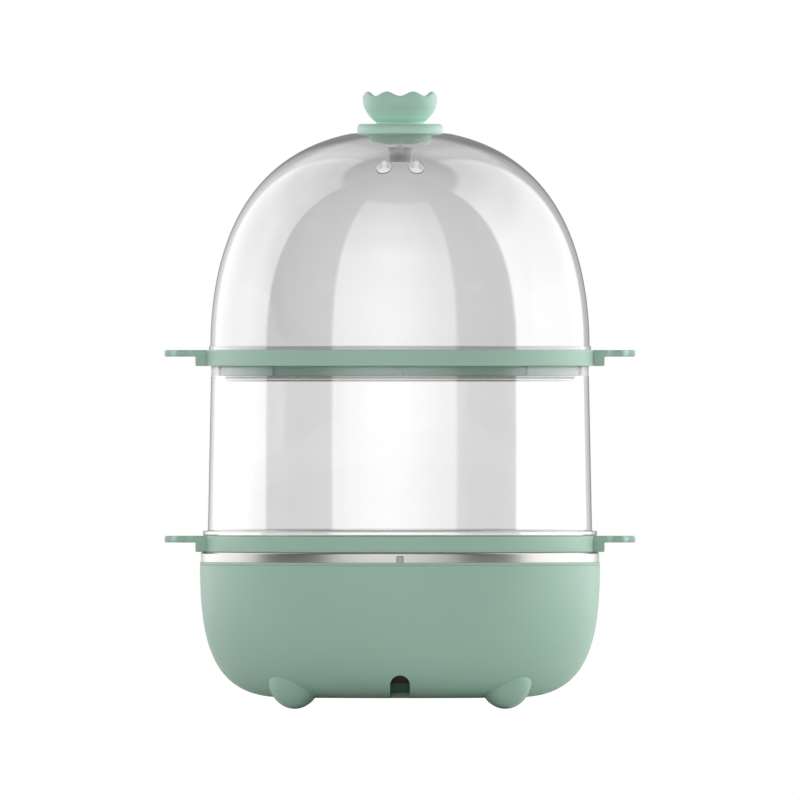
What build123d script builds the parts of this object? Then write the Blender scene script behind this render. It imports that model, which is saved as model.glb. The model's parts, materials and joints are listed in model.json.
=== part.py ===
from build123d import *
import os
from math import cos, radians, sin

# Two-tier electric egg cooker, in millimetres.
# Z is up and the origin is under the middle of the base, at table level.
# The push button faces +Y and the cord notch faces -Y.

# ---- Base shell ----
base_radius = 76.0
base_wall = 2.4
table_gap = 4.05        # height of the flat underside above the table
shell_height = 51.45    # flat underside to rim
rim_band = 1.54         # upright stretch under the rim
flat_margin = 2.75      # flat underside outside the bottom cover
side_reach = 30.1       # pull of the side tangent on the curved wall
floor_reach_inset = 5.15    # of the floor tangent's end from the side
foot_offset = 39.9      # of each foot from the middle, along X and along Y
foot_radius = 9.9
foot_half_height = 11.3
foot_sink = 0.3         # how much of each foot's tip is flat
lip_gap = 0.3           # between the dish's band and the lip that carries the dish
lip_wall = 2.4
lip_root = 2.0          # below the rim
lip_slope = 3.0
key_width = 2.1
key_height = 2.2
key_gap = 0.25

# ---- Bottom cover ----
cover_thickness = 2.0
cover_gap = 0.4
ledge_width = 3.4
ledge_thickness = 2.0
cover_rim_height = 3.65
cover_rim_wall = 2.0
rim_clearance = 0.4
post_count = 3
post_start = 90         # degrees from +X to the first post
post_radius = 4.0
clamp_screw_radius = 1.5
screw_clearance = 0.05
clamp_head_radius = 2.8
clamp_head_height = 2.0
clamp_screw_length = 22.0
head_clearance = 0.3

# ---- Cord notch ----
notch_width = 7.5
notch_height = 8.8

# ---- Water dish ----
sheet = 0.8
band_inset = 0.3        # of the band from the shell's side
band_height = 3.8
bowl_gap = 2.0          # between the lip and the bowl
bowl_depth = 15.3
bowl_corner = 8.0
dish_edge = 0.9
gasket_thickness = 0.3
gasket_inset = 0.2
stud_radius = 3.5
stud_length = 13.2

# ---- Egg tray ----
ring_step = 0.6         # of the ring from the dish's band
ring_wall = 2.1
ring_height = 6.1
ring_edge = 0.4
plate_rise = 2.1        # underside of the plate above the ring's underside
plate_thickness = 2.0
skirt_clearance = 1.5   # in the dish's bowl
skirt_wall = 2.0
skirt_drop = 3.8        # below the ring's underside
skirt_rib_count = 8
skirt_rib_width = 1.1
skirt_rib_depth = 1.1
cup_gap = 2.3           # between the outer seats and the skirt
cup_count = 6
cup_mouth = 17.0
cup_throat = 12.5
cup_wall = 1.6
cup_drop = 3.4          # below the ring's underside
cup_lip = 0.8
steam_hole_radius = 3.0
vent_slot_width = 5.0
vent_slot_length = 10.0
vent_slot_gap = 6.4     # between the slots and the skirt
handle_block = 2.6      # of the root block beyond the ring
handle_reach = 11.7
handle_half_width = 15.0
handle_thickness = 2.5
handle_wave = 0.05      # share of the outline that the scallops take
handle_lobe = 36        # degrees between two valleys of the outline

# ---- Middle tier ----
tier_rise = 64.5        # clear height between the two rings
clear_wall = 2.2
tier_top_gap = 1.3      # between the tier's top and the ring round it
tier_foot_step = 2.1    # of the wall's foot from the ring
tier_flange_step = 0.25 # of the flange from the ring
tier_flange_thickness = 1.9
spigot_drop = 1.8
spigot_clearance = 0.4
tier_top_clearance = 0.2
tray_ledge_width = 3.3
tray_ledge_depth = 2.1

# ---- Domed lid ----
dome_height = 84.0      # above the upper ring
dome_side_reach = 45.1
dome_crown_reach = 54.6
bead_clearance = 0.4    # in the upper ring
bead_depth = 0.52
bead_height = 1.5
collar_seat_drop = 2.6  # below the dome's own crest
hub_seat_drop = 6.1
seat_clearance = 0.3
steam_vent_radius = 2.85
steam_vent_spacing = 12.2
steam_vent_offset = 45.9
boss_top_radius = 4.9
boss_tip_radius = 4.5
boss_length = 6.4       # below the hub
well_corner = 0.6
well_outer_corner = 1.6

# ---- Crown knob ----
collar_radius = 16.26
collar_thickness = 4.5
collar_edge = 1.2
hub_radius = 11.8
hub_edge = 1.0
neck_radius = 9.1
neck_height = 0.6
cup_rim_radius = 14.15
cup_height = 11.65      # neck to the tips of the scallops
cup_flare = 3.8         # where the flare's two tangents meet, above the neck
cup_belly = 1.9         # below the tips, where the cup is widest
cup_skin = 2.0
cup_floor = 3.0
scallop_count = 8
scallop_depth = 1.75
scallop_radius = 7.2

# ---- Knob screw ----
knob_screw_radius = 1.5
knob_screw_length = 12.0
knob_head_radius = 2.7
knob_head_height = 1.6
washer_radius = 3.1
washer_thickness = 0.6
knob_head_recess = 2.6
washer_clearance = 0.2

# ---- Heater and thermostat ----
heater_inner_margin = 4.7   # of the cast ring inside the tube
heater_outer_margin = 5.1   # of the cast ring outside the tube
heater_thickness = 6.0
stud_gap = 0.7          # between the cast ring and the dish's studs
tube_circle = 22.0
tube_radius = 3.3
tube_sweep = 300
groove_clearance = 0.05
pin_radius = 1.3
pin_length = 6.0
pin_joint = 4.2         # along the pin, where its wire meets it
thermostat_cap_radius = 8.4
thermostat_body_radius = 7.5
thermostat_body_height = 5.0
blade_width = 6.3
blade_thickness = 0.8
blade_length = 6.0
blade_offset = 4.5
strap_thickness = 1.0
strap_radius = 10.5
strap_width = 7.0
strap_screw_inset = 2.3     # of the screws from the cast ring's inner side
strap_screw_radius = 1.25
strap_screw_length = 4.0
strap_head_radius = 2.2
strap_head_height = 1.5
strap_clearance = 0.2
fuse_radius = 2.0
fuse_length = 16.0
fuse_clearance = 0.05
clip_wall = 0.8
clip_width = 5.0
clip_gap = 0.3

# ---- Terminal block ----
block_width = 28.0
block_depth = 13.0
block_height = 13.0
block_offset = 24.0
pole_spacing = 8.0
terminal_screw_radius = 2.0
terminal_screw_height = 4.0
terminal_slot = 0.8
block_edge = 0.8

# ---- Push button, switch and lamp ----
button_drop = 16.0      # of the button below the lens
button_radius = 9.0
button_clearance = 0.3
button_proud = 0.5
button_travel = 2.5
guide_wall = 2.0
guide_depth = 7.5       # of the guide's inner face from the shell's side
flange_overlap = 1.3
flange_thickness = 1.5
stem_radius = 3.0
stem_clearance = 0.2
stem_reach = 3.0        # into the switch
switch_gap = 8.5        # between the guide and the switch
switch_width = 22.0
switch_height = 20.0
switch_depth = 14.0
ear_width = 38.0
ear_height = 10.0
ear_thickness = 2.0
ear_hole_offset = 15.5
ear_boss_radius = 3.5
ear_screw_radius = 1.5
ear_screw_length = 7.0
ear_head_radius = 2.6
ear_head_height = 1.6
spring_radius = 4.6
spring_wire = 0.4       # radius
spring_turns = 3
lens_drop = 8.5         # of the lens below the rim
lens_radius = 2.5
lens_clearance = 0.1
lens_flange_radius = 3.4
lens_flange_thickness = 1.0
lens_flange_gap = 0.7
lamp_radius = 1.5
lamp_length = 2.0

# ---- Wiring ----
wire_radius = 1.0
lamp_lead_radius = 0.4
lamp_lead_offset = 0.7
lamp_lead_drop = 3.5    # of the leads' first bend below the lamp's middle
lamp_lead_depth = 4.5   # of their second bend below the lamp's middle
switch_wire_drop = 5.0  # of the switch's wires below its middle
thermostat_wire_dip = 8.2   # below the thermostat's blades
heater_wire_dip = 6.2
heater_wire_rise = 4.0
fuse_wire_dip = 0.2
neutral_wire_dip = 10.2
neutral_wire_level = 12.0
live_wire_level = 13.0
earth_wire_level = 8.5
earth_wire_dip = 19.2   # below the cast ring

# ---- Levels and places that follow ----
heater_outer_radius = tube_circle + tube_radius + heater_outer_margin
heater_inner_radius = tube_circle - tube_radius - heater_inner_margin
strap_screw_offset = heater_inner_radius + strap_screw_inset
post_circle = heater_outer_radius + stud_gap + stud_radius
cover_rim_radius = post_circle + post_radius
opening_radius = cover_rim_radius + rim_clearance
cover_radius = opening_radius + ledge_width - cover_gap
flat_radius = cover_radius + flat_margin
floor_reach = base_radius - floor_reach_inset - flat_radius
guide_face = base_radius - guide_depth
switch_face = guide_face - switch_gap
band_radius = base_radius - band_inset
lip_radius = band_radius - sheet - lip_gap
bowl_radius = lip_radius - lip_wall - bowl_gap - sheet
ring_radius = band_radius - ring_step
skirt_radius = bowl_radius - skirt_clearance
cup_pitch = skirt_radius - skirt_wall - cup_gap - cup_wall - cup_mouth
steam_hole_circle = cup_pitch / 2 / cos(radians(180 / cup_count))
vent_slot_circle = skirt_radius - skirt_wall - vent_slot_gap - vent_slot_width / 2
handle_root = ring_radius + handle_block
tier_top_radius = ring_radius - ring_wall - tier_top_gap
tier_foot_radius = ring_radius - tier_foot_step
tier_flange_radius = ring_radius - tier_flange_step
ledge_inner_radius = tier_top_radius - clear_wall - tray_ledge_width
bead_radius = ring_radius - ring_wall - bead_clearance
dome_radius = bead_radius - bead_depth
rim_level = table_gap + shell_height
curve_level = rim_level - rim_band
foot_level = foot_half_height - foot_sink
lens_level = rim_level - lens_drop
button_level = lens_level - button_drop
seat_level = rim_level + band_height
dish_floor = seat_level - bowl_depth
dish_underside = dish_floor - sheet
gasket_level = seat_level - sheet - gasket_thickness
lower_ring_level = seat_level
tier_level = lower_ring_level + ring_height
upper_ring_level = tier_level + tier_rise
upper_ring_top = upper_ring_level + ring_height
upper_plate_top = upper_ring_level + plate_rise + plate_thickness
dome_top = upper_ring_top + dome_height
collar_level = dome_top - collar_seat_drop
hub_level = dome_top - hub_seat_drop
boss_level = hub_level - boss_length
spigot_radius = ring_radius - ring_wall - spigot_clearance
tier_top = upper_ring_level + plate_rise - tier_top_clearance
tray_ledge_level = upper_ring_level - skirt_drop
collar_top = collar_level + collar_thickness
neck_top = collar_top + neck_height
crown_tip = neck_top + cup_height
washer_level = boss_level + knob_head_recess - washer_thickness
knob_screw_tip = washer_level + knob_screw_length
cover_top = table_gap + cover_thickness
stud_level = dish_underside - stud_length
clamp_head_level = stud_level + stud_length / 2 + clamp_head_height - clamp_screw_length
heater_level = dish_underside - heater_thickness
thermostat_base = heater_level - thermostat_body_height
tube_start = 90 - tube_sweep / 2
pin_angle = radians(tube_start)
pin_plane = Plane(
    origin=(tube_circle * cos(pin_angle), tube_circle * sin(pin_angle), heater_level),
    z_dir=(sin(pin_angle), -cos(pin_angle), 0),
)
pin_x = (pin_plane.origin + pin_plane.z_dir * pin_joint).X
pin_y = (pin_plane.origin + pin_plane.z_dir * pin_joint).Y
heater_land = (tube_circle + tube_radius + heater_outer_radius) / 2
fuse_offset = tube_circle + tube_radius + fuse_radius + fuse_clearance + clip_wall + clip_gap
fuse_level = heater_level - fuse_radius - fuse_clearance
block_top = cover_top + block_height
spring_space = switch_gap - flange_thickness - button_travel - 2 * spring_wire
spring_pitch = spring_space / spring_turns
lens_flange_face = base_radius - base_wall - lens_flange_gap
front = Plane(origin=(0, 0, button_level), x_dir=(-1, 0, 0), z_dir=(0, 1, 0))
front_lens = Plane(origin=(0, 0, lens_level), x_dir=(-1, 0, 0), z_dir=(0, 1, 0))


def shell_solid(inset):
    # The base as one full body, with its surface moved in by inset.
    side = base_radius - inset
    floor = table_gap + inset
    side_pull = side_reach * (1 - inset / (curve_level - table_gap))
    floor_pull = floor_reach * (1 - inset / (base_radius - flat_radius))
    with BuildPart() as solid:
        with BuildSketch(Plane.XZ):
            with BuildLine():
                wall = Bezier(
                    (flat_radius, floor),
                    (flat_radius + floor_pull, floor),
                    (side, curve_level - side_pull),
                    (side, curve_level),
                )
                Polyline(wall @ 1, (side, rim_level), (0, rim_level), (0, floor), wall @ 0)
            make_face()
        revolve(axis=Axis.Z)
    return solid.part


def foot_solid(inset):
    # One egg-shaped foot about its own middle, moved in by inset.
    with BuildPart() as foot:
        with BuildSketch(Plane.XZ):
            Ellipse(foot_radius - inset, foot_half_height - inset)
            with Locations((-foot_radius / 2, 0)):
                Rectangle(foot_radius, 2 * foot_half_height, mode=Mode.SUBTRACT)
        revolve(axis=Axis.Z)
        split(bisect_by=Plane.XY.offset(-foot_level), keep=Keep.TOP)
    return foot.part


def write(sub_part, name):
    sub_part.label = name
    export_step(sub_part, f"parts/{name}.step")


os.makedirs("parts", exist_ok=True)

# The guide, the lens seat and the switch bosses stand inward from the shell's front.
with BuildPart() as front_bosses:
    with BuildSketch(front.offset(guide_face)):
        Circle(button_radius + button_clearance + guide_wall)
    extrude(amount=base_radius - guide_face)
    with BuildSketch(front.offset(switch_face)):
        with Locations((ear_hole_offset, 0), (-ear_hole_offset, 0)):
            Circle(ear_boss_radius)
    extrude(amount=base_radius - switch_face)
    add(shell_solid(base_wall / 2), mode=Mode.INTERSECT)

with BuildPart() as base_shell:
    add(shell_solid(0))
    with Locations((0, 0, foot_level)):
        with GridLocations(2 * foot_offset, 2 * foot_offset, 2, 2):
            add(foot_solid(0))
    add(shell_solid(base_wall), mode=Mode.SUBTRACT)
    with Locations((0, 0, foot_level)):
        with GridLocations(2 * foot_offset, 2 * foot_offset, 2, 2):
            add(foot_solid(base_wall), mode=Mode.SUBTRACT)
    # lip under the dish
    with BuildSketch(Plane.XZ):
        with BuildLine():
            Polyline(
                (lip_radius, rim_level - lip_root - lip_slope),
                (lip_radius - lip_wall, rim_level - lip_root),
                (lip_radius - lip_wall, gasket_level),
                (lip_radius, gasket_level),
                close=True,
            )
        make_face()
    revolve(axis=Axis.Z)
    # ledge that the bottom cover seats against
    with BuildSketch(Plane.XY.offset(cover_top)):
        Circle(flat_radius)
        Circle(opening_radius, mode=Mode.SUBTRACT)
    extrude(amount=ledge_thickness)
    with BuildSketch(Plane.XY.offset(table_gap)):
        Circle(cover_radius + cover_gap)
    extrude(amount=cover_thickness, mode=Mode.SUBTRACT)
    with BuildSketch(Plane.XY.offset(table_gap)):
        Circle(opening_radius)
    extrude(amount=cover_thickness + ledge_thickness + base_wall, mode=Mode.SUBTRACT)
    # key that turns the dish to its place
    with Locations((0, -band_radius, rim_level)):
        Box(
            key_width,
            band_radius - lip_radius + lip_wall / 2,
            key_height,
            align=(Align.CENTER, Align.MIN, Align.MIN),
        )
    # arched way out for the cord
    with BuildSketch(Plane.XZ.offset(opening_radius - 1)):
        with Locations((0, table_gap + notch_height - notch_width / 2)):
            Circle(notch_width / 2)
        with Locations((0, 0)):
            Rectangle(
                notch_width,
                table_gap + notch_height - notch_width / 2,
                align=(Align.CENTER, Align.MIN),
            )
    extrude(amount=base_radius, mode=Mode.SUBTRACT)
    # front details
    add(front_bosses.part)
    with BuildSketch(front.offset(guide_face)):
        Circle(button_radius + button_clearance)
    extrude(amount=base_radius, mode=Mode.SUBTRACT)
    with BuildSketch(front.offset(guide_face)):
        Circle(button_radius + flange_overlap + button_clearance)
    extrude(amount=-(flange_thickness + button_travel), mode=Mode.SUBTRACT)
    with BuildSketch(front.offset(switch_face)):
        with Locations((ear_hole_offset, 0), (-ear_hole_offset, 0)):
            Circle(ear_screw_radius + screw_clearance)
    extrude(amount=ear_screw_length, mode=Mode.SUBTRACT)
    with BuildSketch(front_lens.offset(guide_face)):
        Circle(lens_radius + lens_clearance)
    extrude(amount=base_radius, mode=Mode.SUBTRACT)
write(base_shell.part, "base_shell")

with BuildPart() as bottom_cover:
    with BuildSketch(Plane.XY.offset(table_gap)):
        Circle(cover_radius)
    extrude(amount=cover_thickness)
    with BuildSketch(Plane.XY.offset(cover_top)):
        Circle(cover_rim_radius)
        Circle(cover_rim_radius - cover_rim_wall, mode=Mode.SUBTRACT)
    extrude(amount=cover_rim_height)
    with BuildSketch(Plane.XY.offset(cover_top)):
        with PolarLocations(post_circle, post_count, start_angle=post_start):
            Circle(post_radius)
    extrude(amount=stud_level - cover_top)
    with BuildSketch(Plane.XY.offset(table_gap)):
        with PolarLocations(post_circle, post_count, start_angle=post_start):
            Circle(clamp_screw_radius + screw_clearance)
    extrude(amount=stud_level - table_gap, mode=Mode.SUBTRACT)
    with BuildSketch(Plane.XY.offset(table_gap)):
        with PolarLocations(post_circle, post_count, start_angle=post_start):
            Circle(clamp_head_radius + head_clearance)
    extrude(amount=clamp_head_level - table_gap, mode=Mode.SUBTRACT)
write(bottom_cover.part, "bottom_cover")

with BuildPart() as cover_screws:
    with BuildSketch(Plane.XY.offset(clamp_head_level - clamp_head_height)):
        with PolarLocations(post_circle, post_count, start_angle=post_start):
            Circle(clamp_head_radius)
    extrude(amount=clamp_head_height)
    with BuildSketch(Plane.XY.offset(clamp_head_level)):
        with PolarLocations(post_circle, post_count, start_angle=post_start):
            Circle(clamp_screw_radius)
    extrude(amount=clamp_screw_length - clamp_head_height)
write(cover_screws.part, "cover_screws")

with BuildPart() as water_dish:
    with BuildSketch(Plane.XZ):
        with BuildLine():
            FilletPolyline(
                (band_radius, rim_level),
                (band_radius, seat_level),
                (bowl_radius, seat_level),
                (bowl_radius, dish_floor),
                (0, dish_floor),
                (0, dish_underside),
                (bowl_radius + sheet, dish_underside),
                (bowl_radius + sheet, seat_level - sheet),
                (band_radius - sheet, seat_level - sheet),
                (band_radius - sheet, rim_level),
                radius=[
                    0,
                    dish_edge,
                    dish_edge + sheet,
                    bowl_corner,
                    0,
                    0,
                    bowl_corner + sheet,
                    dish_edge,
                    dish_edge - sheet,
                    0,
                ],
                close=True,
            )
        make_face()
    revolve(axis=Axis.Z)
    with Locations((0, -band_radius, rim_level)):
        Box(
            key_width + 2 * key_gap,
            2 * (band_radius - lip_radius) + key_gap,
            key_height + key_gap,
            align=(Align.CENTER, Align.CENTER, Align.MIN),
            mode=Mode.SUBTRACT,
        )
write(water_dish.part, "water_dish")

with BuildPart() as dish_gasket:
    with BuildSketch(Plane.XY.offset(gasket_level)):
        Circle(lip_radius - gasket_inset)
        Circle(lip_radius - lip_wall + gasket_inset, mode=Mode.SUBTRACT)
    extrude(amount=gasket_thickness)
write(dish_gasket.part, "dish_gasket")

with BuildPart() as dish_studs:
    with BuildSketch(Plane.XY.offset(stud_level)):
        with PolarLocations(post_circle, post_count, start_angle=post_start):
            Circle(stud_radius)
            Circle(clamp_screw_radius + screw_clearance, mode=Mode.SUBTRACT)
    extrude(amount=stud_length)
write(dish_studs.part, "dish_studs")


def egg_tray(ring_level):
    # Ring, plate, skirt and egg seats, with the ring's underside at ring_level.
    plate_level = ring_level + plate_rise
    plate_top = plate_level + plate_thickness
    cup_level = ring_level - cup_drop
    ring_top = ring_level + ring_height
    ring_inner = ring_radius - ring_wall
    root_half_width = handle_half_width * (1 + handle_wave)
    outline = []
    for angle in range(-90, 91, handle_lobe // 2):
        grow = 1 - handle_wave * cos(radians(360 / handle_lobe * angle))
        x = handle_root + handle_reach * grow * cos(radians(angle))
        y = handle_half_width * grow * sin(radians(angle))
        outline.append((x, y))
    seats = [(0, 0, cup_level)]
    for place in range(cup_count):
        angle = radians(360 / cup_count * place)
        seats.append((cup_pitch * cos(angle), cup_pitch * sin(angle), cup_level))
    with BuildPart() as tray:
        with BuildSketch(Plane.XY.offset(ring_level)):
            Circle(ring_radius)
            Rectangle(2 * handle_root, 2 * root_half_width)
            Circle(ring_inner, mode=Mode.SUBTRACT)
        extrude(amount=ring_height)
        with BuildSketch(Plane.XY.offset(ring_top - handle_thickness)) as handle:
            with BuildLine():
                Spline(*outline, tangents=[(1, 0), (-1, 0)])
                Line(outline[-1], outline[0])
            make_face()
            mirror(about=Plane.YZ)
        extrude(amount=handle_thickness)
        with BuildSketch(Plane.XY.offset(plate_level)):
            Circle(ring_inner + ring_wall / 2)
        extrude(amount=plate_thickness)
        with BuildSketch(Plane.XY.offset(ring_level - skirt_drop)):
            Circle(skirt_radius)
            Circle(skirt_radius - skirt_wall, mode=Mode.SUBTRACT)
        extrude(amount=skirt_drop + plate_rise)
        with BuildSketch(Plane.XY.offset(ring_level - skirt_drop)):
            with PolarLocations(skirt_radius, skirt_rib_count):
                Rectangle(2 * skirt_rib_depth, skirt_rib_width)
            Circle(skirt_radius - skirt_wall / 2, mode=Mode.SUBTRACT)
        extrude(amount=skirt_drop + plate_rise)
        for wall, mode in ((cup_wall, Mode.ADD), (0, Mode.SUBTRACT)):
            with Locations(*seats):
                Cone(
                    cup_throat + wall,
                    cup_mouth + wall,
                    plate_top - cup_level,
                    align=(Align.CENTER, Align.CENTER, Align.MIN),
                    mode=mode,
                )
        with BuildSketch(Plane.XY.offset(plate_level)):
            half_step = 180 / cup_count
            with PolarLocations(steam_hole_circle, cup_count, start_angle=half_step):
                Circle(steam_hole_radius)
            with PolarLocations(vent_slot_circle, cup_count, start_angle=half_step):
                SlotOverall(vent_slot_length, vent_slot_width, rotation=90)
        extrude(amount=plate_thickness, mode=Mode.SUBTRACT)
        mouths = tray.edges().filter_by(GeomType.CIRCLE)
        fillet(mouths.filter_by(lambda edge: abs(edge.radius - cup_mouth) < 0.001), cup_lip)
        top_rims = tray.faces().filter_by(Axis.Z).sort_by(Axis.Z)[-1].edges()
        fillet(top_rims.filter_by(GeomType.CIRCLE), ring_edge)
    return tray.part


lower_tray = egg_tray(lower_ring_level)
upper_tray = egg_tray(upper_ring_level)
write(lower_tray, "lower_tray")
write(upper_tray, "upper_tray")

with BuildPart() as middle_tier:
    with BuildSketch(Plane.XZ):
        with BuildLine():
            Polyline(
                (spigot_radius, tier_level - spigot_drop),
                (spigot_radius, tier_level),
                (tier_flange_radius, tier_level),
                (tier_flange_radius, tier_level + tier_flange_thickness),
                (tier_foot_radius, tier_level + tier_flange_thickness),
                (tier_top_radius, tier_top),
                (tier_top_radius - clear_wall, tier_top),
                (tier_top_radius - clear_wall, tray_ledge_level),
                (ledge_inner_radius, tray_ledge_level),
                (ledge_inner_radius, tray_ledge_level - tray_ledge_depth),
                (tier_top_radius - clear_wall, tray_ledge_level - tray_ledge_depth),
                (tier_foot_radius - clear_wall, tier_level + tier_flange_thickness),
                (spigot_radius - clear_wall, tier_level - spigot_drop),
                close=True,
            )
        make_face()
    revolve(axis=Axis.Z)
write(middle_tier.part, "middle_tier")


def dome_solid(inset):
    # The lid as one full body, with its surface moved in by inset.
    side = dome_radius - inset
    crest = dome_top - inset
    side_pull = dome_side_reach * (1 - inset / dome_height)
    crown_pull = dome_crown_reach * (1 - inset / dome_radius)
    with BuildPart() as solid:
        with BuildSketch(Plane.XZ):
            with BuildLine():
                wall = Bezier(
                    (side, upper_ring_top),
                    (side, upper_ring_top + side_pull),
                    (crown_pull, crest),
                    (0, crest),
                )
                Polyline(wall @ 1, (0, upper_plate_top), (side, upper_plate_top), wall @ 0)
            make_face()
        revolve(axis=Axis.Z)
    return solid.part


def well_solid(grow, corner):
    # Stepped well that the knob's collar and hub sit in, with its surface moved out by grow.
    collar_side = collar_radius + seat_clearance + grow
    hub_side = hub_radius + seat_clearance + grow
    with BuildPart() as solid:
        with BuildSketch(Plane.XZ):
            with BuildLine():
                FilletPolyline(
                    (0, hub_level - grow),
                    (hub_side, hub_level - grow),
                    (hub_side, collar_level - grow),
                    (collar_side, collar_level - grow),
                    (collar_side, dome_top + grow),
                    (0, dome_top + grow),
                    radius=[0, corner, well_corner, corner, 0, 0],
                    close=True,
                )
            make_face()
        revolve(axis=Axis.Z)
    return solid.part


with BuildPart() as lid_hollow:
    add(dome_solid(clear_wall))
    add(well_solid(clear_wall, well_outer_corner), mode=Mode.SUBTRACT)
    with Locations((0, 0, boss_level)):
        Cone(
            boss_tip_radius,
            boss_top_radius,
            boss_length,
            align=(Align.CENTER, Align.CENTER, Align.MIN),
            mode=Mode.SUBTRACT,
        )

with BuildPart() as lid_dome:
    add(dome_solid(0))
    with BuildSketch(Plane.XY.offset(upper_plate_top)):
        Circle(bead_radius)
    extrude(amount=upper_ring_top + bead_height - upper_plate_top)
    add(lid_hollow.part, mode=Mode.SUBTRACT)
    add(well_solid(0, well_corner), mode=Mode.SUBTRACT)
    with BuildSketch(Plane.XY.offset(boss_level)):
        Circle(knob_screw_radius + screw_clearance)
    extrude(amount=boss_length, mode=Mode.SUBTRACT)
    with BuildSketch(Plane.XY.offset(boss_level)):
        Circle(washer_radius + washer_clearance)
    extrude(amount=knob_head_recess, mode=Mode.SUBTRACT)
    with BuildSketch(Plane.XY.offset(upper_ring_top)):
        with Locations((0, -steam_vent_offset)):
            with GridLocations(steam_vent_spacing, 1, 2, 1):
                Circle(steam_vent_radius)
    extrude(amount=dome_height, mode=Mode.SUBTRACT)
write(lid_dome.part, "lid_dome")

with BuildPart() as crown_knob:
    with BuildSketch(Plane.XY.offset(hub_level)):
        Circle(hub_radius)
    extrude(amount=collar_level - hub_level)
    fillet(crown_knob.faces().sort_by(Axis.Z)[0].edges(), hub_edge)
    with BuildSketch(Plane.XY.offset(collar_level)):
        Circle(collar_radius)
    extrude(amount=collar_thickness)
    collar_rims = crown_knob.edges().filter_by(GeomType.CIRCLE)
    fillet(collar_rims.filter_by(lambda edge: abs(edge.radius - collar_radius) < 0.001), collar_edge)
    with BuildSketch(Plane.XZ):
        with BuildLine():
            flare = Bezier(
                (neck_radius, neck_top),
                (cup_rim_radius, neck_top + cup_flare),
                (cup_rim_radius, crown_tip - cup_belly),
            )
            Polyline(
                flare @ 1,
                (cup_rim_radius, crown_tip),
                (0, crown_tip),
                (0, collar_top),
                (neck_radius, collar_top),
                flare @ 0,
            )
        make_face()
    revolve(axis=Axis.Z)
    with BuildSketch(Plane.XZ):
        with BuildLine():
            bowl = Bezier(
                (neck_radius - cup_skin, neck_top + cup_floor),
                (cup_rim_radius - cup_skin, neck_top + cup_flare + cup_floor / 2),
                (cup_rim_radius - cup_skin, crown_tip - cup_belly),
            )
            Polyline(
                bowl @ 1,
                (cup_rim_radius - cup_skin, crown_tip),
                (0, crown_tip),
                (0, neck_top + cup_floor),
                bowl @ 0,
            )
        make_face()
    revolve(axis=Axis.Z, mode=Mode.SUBTRACT)
    with Locations((0, 0, crown_tip - scallop_depth + scallop_radius)):
        with PolarLocations(cup_rim_radius, scallop_count, start_angle=-90):
            Cylinder(
                scallop_radius,
                2 * cup_rim_radius,
                rotation=(0, 90, 0),
                mode=Mode.SUBTRACT,
            )
    with BuildSketch(Plane.XY.offset(hub_level)):
        Circle(knob_screw_radius + screw_clearance)
    extrude(amount=knob_screw_tip - hub_level + screw_clearance, mode=Mode.SUBTRACT)
write(crown_knob.part, "crown_knob")

with BuildPart() as knob_screw:
    with BuildSketch(Plane.XY.offset(washer_level - knob_head_height)):
        Circle(knob_head_radius)
    extrude(amount=knob_head_height)
    with BuildSketch(Plane.XY.offset(washer_level)):
        Circle(knob_screw_radius)
    extrude(amount=knob_screw_length)
    fillet(knob_screw.faces().sort_by(Axis.Z)[0].edges(), knob_head_height / 2)
write(knob_screw.part, "knob_screw")

with BuildPart() as knob_washer:
    with BuildSketch(Plane.XY.offset(washer_level)):
        Circle(washer_radius)
        Circle(knob_screw_radius + screw_clearance, mode=Mode.SUBTRACT)
    extrude(amount=washer_thickness)
write(knob_washer.part, "knob_washer")

with BuildPart() as heater_plate:
    with BuildSketch(Plane.XY.offset(heater_level)):
        Circle(heater_outer_radius)
        Circle(heater_inner_radius, mode=Mode.SUBTRACT)
    extrude(amount=heater_thickness)
    with BuildSketch(Plane.XZ):
        with Locations((tube_circle, heater_level)):
            Circle(tube_radius + groove_clearance)
    revolve(axis=Axis.Z, mode=Mode.SUBTRACT)
    with BuildSketch(Plane.XY.offset(heater_level)):
        with GridLocations(2 * strap_screw_offset, 1, 2, 1):
            Circle(strap_screw_radius + screw_clearance)
    extrude(amount=strap_screw_length, mode=Mode.SUBTRACT)
write(heater_plate.part, "heater_plate")

with BuildPart() as tube_arc:
    with BuildSketch(Plane.XZ):
        with Locations((tube_circle, heater_level)):
            Circle(tube_radius)
    revolve(axis=Axis.Z, revolution_arc=tube_sweep)
heater_tube = tube_arc.part.rotate(Axis.Z, tube_start)
write(heater_tube, "heater_tube")

with BuildPart() as heater_pins:
    with BuildSketch(pin_plane):
        Circle(pin_radius)
    extrude(amount=pin_length)
    mirror(about=Plane.YZ)
write(heater_pins.part, "heater_pins")

with BuildPart() as thermostat:
    with BuildSketch(Plane.XY.offset(heater_level)):
        Circle(thermostat_cap_radius)
    extrude(amount=heater_thickness)
    with BuildSketch(Plane.XY.offset(thermostat_base)):
        Circle(thermostat_body_radius)
    extrude(amount=thermostat_body_height)
    with BuildSketch(Plane.XY.offset(thermostat_base - blade_length)):
        with GridLocations(2 * blade_offset, 1, 2, 1):
            Rectangle(blade_thickness, blade_width)
    extrude(amount=blade_length)
write(thermostat.part, "thermostat")

with BuildPart() as thermostat_strap:
    with BuildSketch(Plane.XY.offset(heater_level - strap_thickness)):
        Circle(strap_radius)
        Rectangle(2 * (strap_screw_offset + strap_head_radius - strap_clearance), strap_width)
        Circle(thermostat_body_radius + strap_clearance, mode=Mode.SUBTRACT)
        with GridLocations(2 * strap_screw_offset, 1, 2, 1):
            Circle(strap_screw_radius + screw_clearance, mode=Mode.SUBTRACT)
    extrude(amount=strap_thickness)
write(thermostat_strap.part, "thermostat_strap")

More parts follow.
